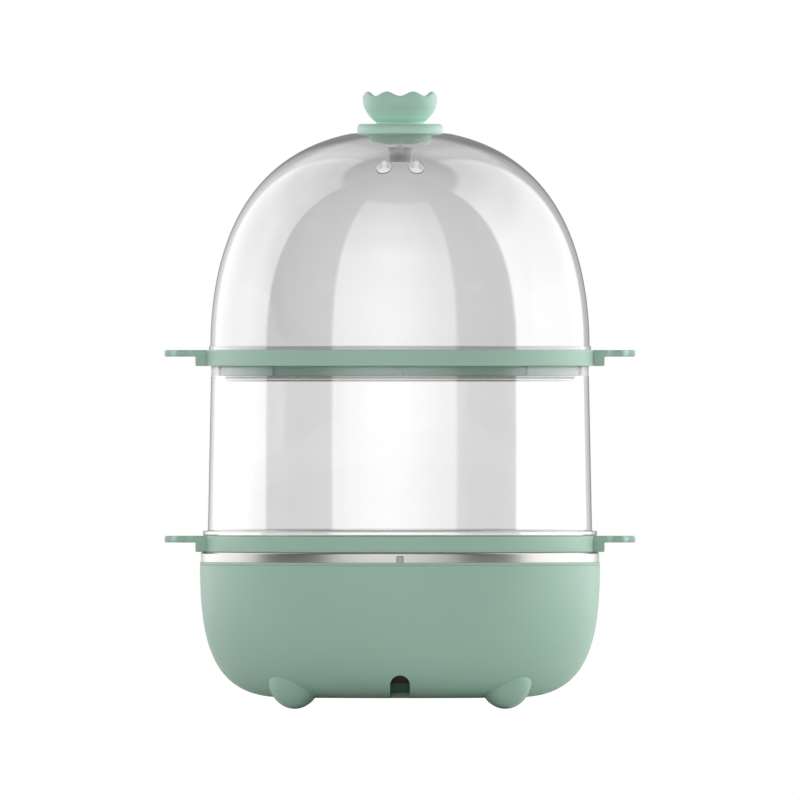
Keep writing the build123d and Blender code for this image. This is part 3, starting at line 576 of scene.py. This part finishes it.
def plainFinish(name, colour, roughness, metallic=0.0, grain=0.5, transmission=0.0):
    # small and inner pieces: one body colour with a fine uneven surface
    material, tree, shader, coords = newMaterial(name)
    noise = addNode(
        tree, "ShaderNodeTexNoise", {"Scale": 1 / (grain * mm), "Detail": 2.0}, {"Vector": coords}
    )
    roughen(tree, shader, noise.outputs["Fac"], roughness * 0.85, roughness * 1.15, 0.1, 0.02)
    shader.inputs["Base Color"].default_value = hexColour(colour)
    shader.inputs["Metallic"].default_value = metallic
    shader.inputs["Transmission Weight"].default_value = transmission
    return material


sage = sagePolypropylene("sagePolypropylene", "#92B0A1", "#8DAB9C")
# painted light by height: paler colours brighten the hub behind the clear dome and the lower collar and
# flare, and the collar's top is a little darker
sageKnobPaintedLight = sagePolypropylene("sageKnobPolypropylenePaintedLight", "#9EBFAF", "#9ABBAB", [
    (213.9, "#DAE3DE"), (217.2, "#DAE3DE"), (217.5, "#C8E8D8"), (218.3, "#C4E4D4"), (219.6, "#AED1C1"),
    (221.4, "#98B9A9"), (222.3, "#C0E3D1"), (224.2, "#B4D9C9"), (225.7, "#A7CBBC"), (228.0, "#9EC0B0"),
    (234.2, "#9ABBAB"),
])
# share mirrored and the same from inside, light let through and the same from inside, darkening at a slant
clear = clearStyrene("clearStyrene", 1.0, 0.25, 0.93, 0.93, 1.35)
# painted shade: a weaker, blurred mirror on the tier's band above the ledge, so the tray's skirt behind it
# looks darker and hazier
clearBandPaintedShade = clearStyrene("clearStyreneBandPaintedShade", 0.55, 0.25, 0.93, 0.9, 1.0, 0.3)
# painted shade: a darker line on the tier's outer wall, standing in for the ledge seen through it
clearLinePaintedShade = clearStyrene("clearStyrenePaintedShadeLine", 0.6, 0.25, 0.86, 0.86, 0.5)
# painted shade: a darker, rough copy on the boss's side, so the screw and washer inside read as one even grey
# block
clearBossPaintedShade = clearStyrene("clearStyreneBossPaintedShade", 1.0, 0.4, 0.64, 0.68, 0.0, 0.5)
clearDome = clearStyrene("clearStyreneDome", 1.0, 0.25, 0.89, 0.89, 1.7)
clearInside = clearStyrene("clearStyreneInside", 0.12, 0.05, 0.995, 0.995, 0.0)
# painted shade: a darker copy on the tops, ledge, bead and vent rims, standing in for the dark edges that
# clear walls show
clearCornerPaintedShade = clearStyrene("clearStyreneCornerPaintedShade", 0.8, 0.3, 0.6, 0.6, 0.0)
clearHole = clearStyrene("clearStyreneHole", 0.8, 0.0, 0.8, 0.99, 0.0)
steel = pressedSteel()
finishes = {
    "green_plastic": sage,
    "clear_plastic": clear,
    "stainless_steel": steel,
    "fastener_steel": plainFinish("zincPlatedSteel", "#E4E5E5", 0.6, metallic=0.1),
    "button_plastic": plainFinish("whiteButtonPlastic", "#ECECE8", 0.38),
    "silicone": plainFinish("whiteSilicone", "#DEDEDA", 0.6),
    "cast_aluminium": plainFinish("castAluminium", "#A9AAAB", 0.55, metallic=1.0, grain=1.2),
    "black_phenolic": plainFinish("blackPhenolic", "#17181A", 0.45),
    "fibre_sleeve": plainFinish("glassFibreSleeve", "#DAD6C9", 0.8, grain=0.8),
    "white_nylon": plainFinish("whiteNylon", "#E9E9E4", 0.5),
    "lens_plastic": plainFinish("redLensAcrylic", "#D22B1E", 0.12, transmission=0.6),
    "lamp_glass": plainFinish("lampGlass", "#EDEDED", 0.08, transmission=0.9),
    "wire_insulation": plainFinish("wireInsulation", "#CFCFCC", 0.5),
    "earth_insulation": plainFinish("earthInsulation", "#5C9A3A", 0.5),
}
slotOf = {row["node"]: row["material_slot"] for row in frame["record"]["subparts"]}
for nodeName, slotName in slotOf.items():
    node = frame["nodes"][nodeName]
    node.data.materials.clear()
    node.data.materials.append(finishes[slotName])
print("materials made")

# base shell
shell = {
    "radius": 76.0, "wall": 2.4, "bottom": 4.05, "rim": 55.5, "straight": 53.96, "flat": 44.75,
    "sidePull": 30.1, "floorPull": 26.1,
    "rimEdge": 0.4, "lineLevel": 54.4, "lineDepth": 0.18, "lineHalf": 0.2,
    "lipOuter": 74.6, "lipInner": 72.2, "lipTop": 58.2, "lipRoot": 53.5, "lipSlope": 51.75,
    "recess": 42.4, "recessTop": 6.05, "opening": 39.0, "ledgeTop": 8.05,
    "footOffset": 39.9, "footRadius": 9.9, "footHalf": 11.0,
    "notchWidth": 7.5, "notchTop": 12.85,
    "keyWidth": 2.1, "keyOut": 75.7, "keyIn": 73.2, "keyTop": 57.7, "keyFoot": 55.0,
    "buttonLevel": 31.0, "buttonHole": 9.3, "guideOuter": 11.3, "guideFace": 68.5, "stubEnd": 77.0,
    "bossOffset": 15.5, "bossRadius": 3.5, "bossFace": 60.0, "bossBore": 1.55, "boreEnd": 67.0,
    "lensLevel": 47.0, "lensHole": 2.6,
    "outside": 90.0,    # where cutters end, clear of the wall
}


def shellCurve(inset):
    # the curved wall from the flat underside up, moved in by inset
    side = shell["radius"] - inset
    floor = shell["bottom"] + inset
    sidePull = shell["sidePull"] * (1 - inset / (shell["straight"] - shell["bottom"]))
    floorPull = shell["floorPull"] * (1 - inset / (shell["radius"] - shell["flat"]))
    return cubicPoints(
        (shell["flat"], floor), (shell["flat"] + floorPull, floor),
        (side, shell["straight"] - sidePull), (side, shell["straight"]), 40,
    )


def shellSection():
    # up the inside, over the lip, down the outside and back under the bottom
    radius = shell["radius"]
    line, half = shell["lineLevel"], shell["lineHalf"]
    section = [(shell["opening"], shell["ledgeTop"]), (shell["flat"], shell["ledgeTop"])]
    section += [point for point in shellCurve(shell["wall"]) if point[1] > shell["ledgeTop"]][:-1]
    section += [
        (radius - shell["wall"], shell["lipSlope"]), (shell["lipInner"], shell["lipRoot"]),
        (shell["lipInner"], shell["lipTop"]), (shell["lipOuter"], shell["lipTop"]),
        (shell["lipOuter"], shell["rim"]),
    ]
    section += roundCorners([
        (shell["lipOuter"], shell["rim"]), (radius, shell["rim"], shell["rimEdge"]),
        (radius, shell["straight"]),
    ])[1:-1]
    section += [(radius, line + half), (radius - shell["lineDepth"], line), (radius, line - half)]
    section += shellCurve(0)[::-1]
    section += [
        (shell["recess"], shell["bottom"]), (shell["recess"], shell["recessTop"]),
        (shell["opening"], shell["recessTop"]),
    ]
    return section


def spaceInside(name, inset):
    # all that lies within the wall's curve, up to the rim
    curve = shellCurve(inset)
    return spinPiece(name, [(0, curve[0][1])] + curve + [(curve[-1][0], shell["rim"]), (0, shell["rim"])])


def fourFeet(name, inset):
    feet = []
    for x in (-1, 1):
        for y in (-1, 1):
            deselectAll()
            middle = metres((x * shell["footOffset"], y * shell["footOffset"], shell["footHalf"]))
            bpy.ops.mesh.primitive_uv_sphere_add(segments=96, ring_count=64, radius=1, location=middle)
            foot = bpy.context.object
            width = (shell["footRadius"] - inset) * mm
            foot.scale = (width, width, (shell["footHalf"] - inset) * mm)
            settle(foot)
            feet.append(foot)
    return gather(name, feet)


def addSwitchMounts(piece):
    # push button's guide and the switch's two bosses, grown from the middle of the wall
    level, face, end = shell["buttonLevel"], shell["bossFace"], shell["stubEnd"]
    sides = (-shell["bossOffset"], shell["bossOffset"])
    stubs = [rodPiece("guide", shell["guideOuter"], (0, shell["guideFace"], level), (0, end, level), 96)]
    stubs += [rodPiece("boss", shell["bossRadius"], (x, face, level), (x, end, level)) for x in sides]
    stubs = gather("stubs", stubs)
    combine(stubs, spaceInside("limit", shell["wall"] / 2), "INTERSECT")
    joinOn(piece, stubs)
    for x in sides:
        start, tip = (x, face - 1, level), (x, shell["boreEnd"], level)
        cutAway(piece, rodPiece("bore", shell["bossBore"], start, tip, 32))


def cutFrontHoles(piece):
    holes = [
        # radius, where the cutter starts, level, steps round
        (shell["buttonHole"], shell["bossFace"], shell["buttonLevel"], 96),
        (shell["lensHole"], shell["guideFace"], shell["lensLevel"], 48),
    ]
    for radius, start, level, steps in holes:
        cutAway(piece, rodPiece("hole", radius, (0, start, level), (0, shell["outside"], level), steps))


def cutCordNotch(piece):
    # arched way out for the cord
    half = shell["notchWidth"] / 2
    spring = shell["notchTop"] - half
    arch = [(-half, 0), (half, 0)]
    for degrees in range(0, 181, 6):
        x, rise = turned(half, degrees)
        arch.append((x, spring + rise))
    cutter = outlinePiece("arch", arch, shell["opening"] - 1, shell["outside"])
    cutter.rotation_euler = (math.pi / 2, 0, 0)
    settle(cutter)
    cutAway(piece, cutter)


def makeBaseShell():
    piece = spinPiece("baseShell", shellSection())
    feet = fourFeet("feet", 0)
    cutAway(feet, spaceInside("hollow", shell["wall"]))
    joinOn(piece, feet)
    cutAway(piece, fourFeet("footHollows", shell["wall"]))
    # key for the dish
    half = shell["keyWidth"] / 2
    joinOn(piece, boxPiece(
        "key", (-half, -shell["keyOut"], shell["keyFoot"]), (half, -shell["keyIn"], shell["keyTop"])
    ))
    addSwitchMounts(piece)
    cutFrontHoles(piece)
    cutCordNotch(piece)
    smooth(piece)
    place(piece, "base", "base_shell", sage, "green_plastic")


makeBaseShell()
print("base shell made")

# water dish
dish = {
    "band": 75.7, "bandFoot": 55.5, "top": 59.3, "bowl": 69.4, "floor": 44.0, "sheet": 0.8,
    "corner": 8.0, "edge": 0.9, "notchWidth": 2.6, "notchTop": 57.95, "notchOut": 77.0, "notchIn": 74.2,
}


def makeWaterDish():
    t = dish["sheet"]
    piece = spinPiece("waterDish", roundCorners([
        (dish["band"], dish["bandFoot"]),
        (dish["band"], dish["top"], dish["edge"]),
        (dish["bowl"], dish["top"], dish["edge"] + t),
        (dish["bowl"], dish["floor"], dish["corner"]),
        (0, dish["floor"]),
        (0, dish["floor"] - t),
        (dish["bowl"] + t, dish["floor"] - t, dish["corner"] + t),
        (dish["bowl"] + t, dish["top"] - t, dish["edge"]),
        (dish["band"] - t, dish["top"] - t, dish["edge"] - t),
        (dish["band"] - t, dish["bandFoot"]),
    ], 8))
    # notch over the shell's key
    half = dish["notchWidth"] / 2
    cutAway(piece, boxPiece(
        "notch", (-half, -dish["notchOut"], dish["bandFoot"] - 1), (half, -dish["notchIn"], dish["notchTop"])
    ))
    smooth(piece)
    place(piece, "base", "water_dish", steel, "stainless_steel")


makeWaterDish()
print("water dish made")

# egg trays
tray = {
    "lowerLevel": 59.3, "upperLevel": 129.9,
    "ring": 75.1, "ringWall": 2.1, "height": 6.1, "edge": 0.45, "footEdge": 0.3,
    "plateFoot": 2.1, "plateTop": 4.1, "skirt": 67.9, "skirtWall": 2.0, "skirtDrop": 3.8,
    "ribs": 8, "ribWidth": 1.1, "ribReach": 69.0, "ribEdge": 0.15,
    "seats": 6, "seatCircle": 45.0, "mouth": 17.0, "throat": 12.5, "cupWall": 1.6, "cupDrop": 3.4, "lip": 0.8,
    "hole": 3.0, "holeCircle": 25.98, "slotWidth": 5.0, "slotLength": 10.0, "slotCircle": 57.0,
    "root": 77.7, "reach": 11.7, "halfWidth": 15.0, "thickness": 2.5, "scallops": 10, "wave": 0.05,
    "handleEdge": 0.8, "blockEdge": 0.6, "blockInset": 0.05,
    "flush": 0.02,      # keeps a handle's faces off the ring's
}


def handlePieces(side, level):
    # scalloped plate flush with the ring's top, and the block under its root
    # both start inside the ring's wall
    half = tray["halfWidth"] * (1 + tray["wave"])
    middle = tray["ring"] - tray["ringWall"] / 2
    reach = math.degrees(math.asin(half / middle))
    steps = 8
    root = [turned(middle, reach * (1 - step / steps)) for step in range(2 * steps + 1)]
    rim = []
    for degrees in range(-90, 91, 2):
        angle = math.radians(degrees)
        grow = 1 - tray["wave"] * math.cos(tray["scallops"] * angle)
        x = tray["root"] + tray["reach"] * grow * math.cos(angle)
        rim.append((x, tray["halfWidth"] * grow * math.sin(angle)))
    top = level + tray["height"] - tray["flush"]
    plate = outlinePiece("handlePlate", [(x * side, y) for x, y in root + rim], top - tray["thickness"], top)
    roundEdges(plate, tray["handleEdge"])
    corner = half - tray["blockInset"]
    ends = [(tray["root"], -corner), (tray["root"], corner)]
    low = [(x * side, y * corner / half) for x, y in root] + [(x * side, y) for x, y in ends]
    block = outlinePiece("handleBlock", low, level + tray["flush"], top - 1)
    roundEdges(block, tray["blockEdge"])
    return plate, block


def traySection(level):
    top = level + tray["plateTop"]
    foot = level + tray["plateFoot"]
    rim = level + tray["height"]
    ringInner = tray["ring"] - tray["ringWall"]
    skirtInner = tray["skirt"] - tray["skirtWall"]
    skirtFoot = level - tray["skirtDrop"]
    edge = tray["footEdge"]
    return roundCorners([
        (0, top), (ringInner, top), (ringInner, rim, tray["edge"]),
        (tray["ring"], rim, tray["edge"]), (tray["ring"], level, edge), (ringInner, level, edge),
        (ringInner, foot), (tray["skirt"], foot), (tray["skirt"], skirtFoot, edge),
        (skirtInner, skirtFoot, edge), (skirtInner, foot), (0, foot),
    ])


def eggSeats(level):
    # cups to join on, and the voids that open them
    top = level + tray["plateTop"]
    low = level - tray["cupDrop"]
    past = 0.5
    slope = (tray["mouth"] - tray["throat"]) / (top - low)
    wall = tray["cupWall"]
    lip = roundCorners([
        (tray["mouth"] + 1, top), (tray["mouth"], top, tray["lip"]), (tray["throat"], low),
    ])[1:-1]
    spots = [(0, 0)] + [turned(tray["seatCircle"], 360 / tray["seats"] * n) for n in range(tray["seats"])]
    cups, voids = [], []
    for spot in spots:
        cups.append(spinPiece("cup", [
            (0, low), (tray["throat"] + wall, low), (tray["mouth"] + wall - slope, top - 1), (0, top - 1),
        ], 96, spot))
        voids.append(spinPiece("void", [
            (0, low - past), (tray["throat"] - slope * past, low - past), *lip[::-1], (lip[0][0], top + past),
            (0, top + past),
        ], 96, spot))
    return cups, voids


def slotOutline(degrees):
    # rounded slot whose length lies across the radius at that angle
    half = tray["slotWidth"] / 2
    reach = tray["slotLength"] / 2 - half
    turn = math.radians(degrees)
    outline = []
    for end, first in ((reach, 0), (-reach, 180)):
        for step in range(0, 181, 12):
            u, v = turned(half, first + step)
            u += tray["slotCircle"]
            v += end
            outline.append((u * math.cos(turn) - v * math.sin(turn), u * math.sin(turn) + v * math.cos(turn)))
    return outline


def skirtRibs(level):
    half = tray["ribWidth"] / 2
    low = (tray["skirt"] - 1, -half, level - tray["skirtDrop"] + 0.1)
    high = (tray["ribReach"], half, level + tray["plateFoot"] + 0.5)
    ribs = []
    for n in range(tray["ribs"]):
        rib = boxPiece("rib", low, high)
        roundEdges(rib, tray["ribEdge"], segments=2)
        rib.rotation_euler = (0, 0, math.radians(360 / tray["ribs"] * n))
        settle(rib)
        ribs.append(rib)
    return ribs


def makeTray(name, body, nodeName, level):
    piece = spinPiece(name, traySection(level))
    cups, voids = eggSeats(level)
    joinOn(piece, gather("cups", cups))
    # steam holes and slots between the seats
    low, high = level + tray["plateFoot"] - 1, level + tray["plateTop"] + 1
    for n in range(tray["seats"]):
        angle = 360 / tray["seats"] * (n + 0.5)
        x, y = turned(tray["holeCircle"], angle)
        voids.append(rodPiece("hole", tray["hole"], (x, y, low), (x, y, high), 48))
        voids.append(outlinePiece("slot", slotOutline(angle), low, high))
    cutAway(piece, gather("voids", voids))
    joinOn(piece, gather("ribs", skirtRibs(level)))
    for side in (-1, 1):
        plate, block = handlePieces(side, level)
        joinOn(plate, block)
        joinOn(piece, plate)
    smooth(piece)
    place(piece, body, nodeName, sage, "green_plastic")


makeTray("lowerTray", "lower_tray", "lower_tray", tray["lowerLevel"])
makeTray("upperTray", "upper_tray", "upper_tray", tray["upperLevel"])
print("egg trays made")

# middle tier
tier = {
    "foot": 63.6, "footOuter": 72.6, "footInner": 70.4,
    "flange": 74.85, "flangeFoot": 65.4, "flangeTop": 67.3, "wallFoot": 73.0, "wallFootInner": 70.8,
    "top": 131.8, "wallTop": 71.7, "wallTopInner": 69.5,
    "ledge": 66.2, "ledgeTop": 126.1, "ledgeFoot": 124.0,
    # painted shade: the outer faces between these heights take a darker copy of the clear plastic
    "shadeLineFoot": 125.0, "shadeLineTop": 125.7,    # darker line where the ledge shows through the wall
    "edge": 0.3, "flangeEdge": 0.4, "flangeRoot": 0.6, "ledgeTopEdge": 1.1, "ledgeFootEdge": 0.8,
}


def tierSide(level):
    # radius of the outer wall, which narrows upwards for the mould, to the nearest thousandth
    share = (level - tier["flangeTop"]) / (tier["top"] - tier["flangeTop"])
    return round(tier["wallFoot"] + (tier["wallTop"] - tier["wallFoot"]) * share, 3)


def makeMiddleTier():
    edge = tier["edge"]
    section = roundCorners([
        (tier["footOuter"], tier["foot"], edge), (tier["footOuter"], tier["flangeFoot"]),
        (tier["flange"], tier["flangeFoot"], edge), (tier["flange"], tier["flangeTop"], tier["flangeEdge"]),
        (tier["wallFoot"], tier["flangeTop"], tier["flangeRoot"]),
        *[(tierSide(level), level) for level in (tier["shadeLineFoot"], tier["shadeLineTop"], tier["ledgeTop"])],
        (tier["wallTop"], tier["top"], edge), (tier["wallTopInner"], tier["top"], edge),
        (tier["wallTopInner"], tier["ledgeTop"]), (tier["ledge"], tier["ledgeTop"], tier["ledgeTopEdge"]),
        (tier["ledge"], tier["ledgeFoot"], tier["ledgeFootEdge"]), (tier["wallTopInner"], tier["ledgeFoot"]),
        (tier["wallFootInner"], tier["flangeTop"]), (tier["footInner"], tier["foot"], edge),
    ], 3)
    piece = spinPiece("middleTier", section)
    smooth(piece)
    place(piece, "middle_tier", "middle_tier", clear, "clear_plastic")

    def choose(centre, normal):
        # 0 outer wall and foot, 1 inner faces, 2 tops and the ledge with painted edge shade, 3 band above the
        # ledge with painted shade, 4 painted shade line below it
        if normal.z > 0.25 or normal.z < -0.25 and centre.z > tier["flangeTop"]:
            return 2
        inward = -normal.x * centre.x - normal.y * centre.y
        if inward > 0.01 or centre.z < tier["foot"] + 0.01:    # the foot's underside counts as inner
            return 1
        if centre.z > tier["ledgeTop"]:
            return 3
        return 4 if tier["shadeLineFoot"] < centre.z < tier["shadeLineTop"] else 0

    paintFaces(piece, (clearInside, clearCornerPaintedShade, clearBandPaintedShade, clearLinePaintedShade), choose)
    piece.visible_shadow = False    # clear walls let the light through to what they hold


makeMiddleTier()
print("middle tier made")

# domed lid
dome = {
    "side": 72.08, "start": 136.0, "top": 220.0, "sidePull": 45.1, "crownPull": 54.6, "wall": 2.2,
    "foot": 134.0, "bead": 72.6, "beadTop": 137.5, "beadEdge": 0.25, "beadRoot": 72.06,
    "mouthRise": 0.14, "mouthEdge": 0.4, "collarSide": 16.56, "collarLevel": 217.4, "collarEdge": 0.6,
    "hubSide": 12.1, "hubLevel": 213.9, "hubTopEdge": 0.5, "hubFootEdge": 0.6,
    "underHubEdge": 1.4, "underStepEdge": 0.8, "underCollarEdge": 1.0,
    "bossLevel": 207.5, "bossTip": 4.5, "bossRoot": 4.76,
    "screwHole": 1.55, "washerSide": 3.3, "washerTop": 210.1,
    "reliefSide": 6.3, "reliefTop": 213.1, "reliefEdge": 0.4,
    "ventRadius": 2.85, "ventSide": 6.1, "ventBack": 45.9, "ventFrom": 190.0, "ventTo": 215.0,
    "ventRim": 3.15, "ventRimDepth": 0.3,
}


def domeCurve(inset):
    # from the lid's side over to the middle of its top, moved in by inset
    sidePull = dome["sidePull"] * (1 - inset / (dome["top"] - dome["start"]))
    crownPull = dome["crownPull"] * (1 - inset / dome["side"])
    side, start, top = dome["side"] - inset, dome["start"], dome["top"] - inset
    return cubicPoints((side, start), (side, start + sidePull), (crownPull, top), (0, top), 72)


def ventRods(name, radius):
    y, low, high = -dome["ventBack"], dome["ventFrom"], dome["ventTo"]
    sides = (-dome["ventSide"], dome["ventSide"])
    return gather(name, [rodPiece("vent", radius, (x, y, low), (x, y, high)) for x in sides])


def domeSection():
    wall, edge = dome["wall"], dome["reliefEdge"]
    outer = [p for p in domeCurve(0) if p[1] > dome["beadTop"] + 0.5 and p[0] > dome["collarSide"] + 0.8]
    inner = [p for p in domeCurve(wall) if p[0] > dome["collarSide"] + wall + 0.3]
    # seats for the knob's collar and hub
    seats = roundCorners([
        outer[-1], (dome["collarSide"], outer[-1][1] + dome["mouthRise"], dome["mouthEdge"]),
        (dome["collarSide"], dome["collarLevel"], dome["collarEdge"]),
        (dome["hubSide"], dome["collarLevel"], dome["hubTopEdge"]),
        (dome["hubSide"], dome["hubLevel"], dome["hubFootEdge"]), (dome["screwHole"], dome["hubLevel"]),
    ])[1:]
    boss = [
        (dome["screwHole"], dome["washerTop"]), (dome["washerSide"], dome["washerTop"]),
        (dome["washerSide"], dome["bossLevel"]), (dome["bossTip"], dome["bossLevel"]),
    ]
    # the relief round the boss's root keeps the hub's seat from sinking
    under = roundCorners([
        boss[-1], (dome["bossRoot"], dome["reliefTop"], edge), (dome["reliefSide"], dome["reliefTop"], edge),
        (dome["reliefSide"] + 0.3, dome["hubLevel"] - wall, edge),
        (dome["hubSide"] + wall, dome["hubLevel"] - wall, dome["underHubEdge"]),
        (dome["hubSide"] + wall, dome["collarLevel"] - wall, dome["underStepEdge"]),
        (dome["collarSide"] + wall, dome["collarLevel"] - wall, dome["underCollarEdge"]), inner[-1],
    ])[1:-1]
    start, end = [(dome["bead"], dome["foot"])], [(dome["side"] - wall, dome["foot"])]
    bead = roundCorners([
        start[0], (dome["bead"], dome["beadTop"], dome["beadEdge"]),
        (dome["beadRoot"], dome["beadTop"]), outer[0],
    ], 3)[1:-1]
    return start + bead + outer + seats + boss + under + inner[::-1] + end


def makeLidDome():
    piece = spinPiece("lidDome", domeSection())
    cutAway(piece, ventRods("vents", dome["ventRadius"]))
    # a shallow step round each vent's mouth
    rims = ventRods("rims", dome["ventRim"])
    cutAway(rims, spinPiece("underRims", [(0, dome["start"])] + domeCurve(dome["ventRimDepth"])))
    cutAway(piece, rims)
    smooth(piece, 30)
    place(piece, "lid", "lid_dome", clearDome, "clear_plastic")

    def choose(centre, normal):
        # 0 outer face, 1 inner faces, 2 corners with painted shade, 3 walls of the vents, 4 side of the boss
        # with painted shade
        radius = math.hypot(centre.x, centre.y)
        out = (normal.x * centre.x + normal.y * centre.y) / max(radius, 0.01)
        slope = normal.z * (centre.z - dome["start"]) + out * radius
        fromVent = math.hypot(abs(centre.x) - dome["ventSide"], centre.y + dome["ventBack"])
        if fromVent < dome["ventRadius"] + 0.1 and abs(normal.z) < 0.2:
            return 3
        if fromVent < dome["ventRim"] + 0.03 and (slope > 0 or abs(normal.z) < 0.2):
            return 2
        if centre.z < dome["beadTop"] + 0.02:
            return 2 if out > 0.2 or abs(normal.z) > 0.5 else 1
        if radius < dome["bossRoot"] + 0.1 and centre.z < dome["reliefTop"]:
            return 4 if out > 0.5 else 1
        return 0 if slope > 0 and centre.z > dome["beadTop"] and radius > dome["collarSide"] else 1

    paintFaces(piece, (clearInside, clearCornerPaintedShade, clearHole, clearBossPaintedShade), choose)
    piece.visible_shadow = False


makeLidDome()
print("lid dome made")

# crown knob
crown = {
    "hub": 11.8, "hubFoot": 213.9, "hubEdge": 1.0,
    "collar": 16.26, "collarFoot": 217.4, "collarTop": 221.9, "collarEdge": 1.5, "collarFootEdge": 1.9,
    "neck": 9.1, "neckTop": 222.5, "neckEdge": 0.35,
    "rim": 14.15, "flareKnee": 226.3, "belly": 232.25, "tip": 234.15, "rimEdge": 0.95, "skin": 2.0,
    "bowlRadius": 7.1, "bowlFloor": 225.5, "bowlKnee": 227.8,
    "lobes": 8, "depth": 1.65, "waveFrom": 225.0,
    "screwHole": 1.55, "screwTop": 221.55,
}


def crownSection():
    rim, belly = crown["rim"], crown["belly"]
    inner = rim - crown["skin"]
    flare = quadPoints((crown["neck"], crown["neckTop"]), (rim, crown["flareKnee"]), (rim, belly), 16)
    floor = (crown["bowlRadius"], crown["bowlFloor"])
    bowl = quadPoints(floor, (inner, crown["bowlKnee"]), (inner, belly), 14)
    lowPart = roundCorners([
        (crown["screwHole"], crown["screwTop"]), (crown["screwHole"], crown["hubFoot"]),
        (crown["hub"], crown["hubFoot"], crown["hubEdge"]), (crown["hub"], crown["collarFoot"]),
        (crown["collar"], crown["collarFoot"], crown["collarFootEdge"]),
        (crown["collar"], crown["collarTop"], crown["collarEdge"]),
        (crown["neck"], crown["collarTop"], crown["neckEdge"]), (crown["neck"], crown["neckTop"]),
    ])
    edge = roundCorners([
        flare[-1], (rim, crown["tip"], crown["rimEdge"]), (inner, crown["tip"], crown["rimEdge"]), bowl[-1],
    ], 8)
    start, end = [(0, crown["screwTop"])], [(0, crown["bowlFloor"])]
    return start + lowPart[:-1] + flare[:-1] + edge + bowl[::-1][1:] + end


def makeCrownKnob():
    piece = spinPiece("crownKnob", crownSection(), 192)
    # the rim and the wall under it dip in even scallops
    for vertex in piece.data.vertices:
        x, y, z = vertex.co / mm
        if math.hypot(x, y) < crown["bowlRadius"] - 0.1:
            continue
        share = min(max((z - crown["waveFrom"]) / (crown["tip"] - crown["waveFrom"]), 0), 1)
        angle = math.atan2(y, x) + math.pi / 2
        dip = (1 + math.cos(crown["lobes"] * angle)) / 2
        vertex.co.z -= crown["depth"] * dip * share * share * mm
    smooth(piece, 40)
    place(piece, "lid", "crown_knob", sageKnobPaintedLight, "green_plastic")


makeCrownKnob()
print("crown knob made")

# push button and bottom cover
finePieces = {
    # CAD node: piece, body, edge
    "power_button": ("pushButton", "power_button", 0.7),
    "bottom_cover": ("bottomCover", "base", 0.35),
}
for nodeName, (pieceName, body, edge) in finePieces.items():
    slotName = slotOf[nodeName]
    place(polishedCopy(nodeName, pieceName, edge), body, nodeName, finishes[slotName], slotName)
print("button and cover finished")
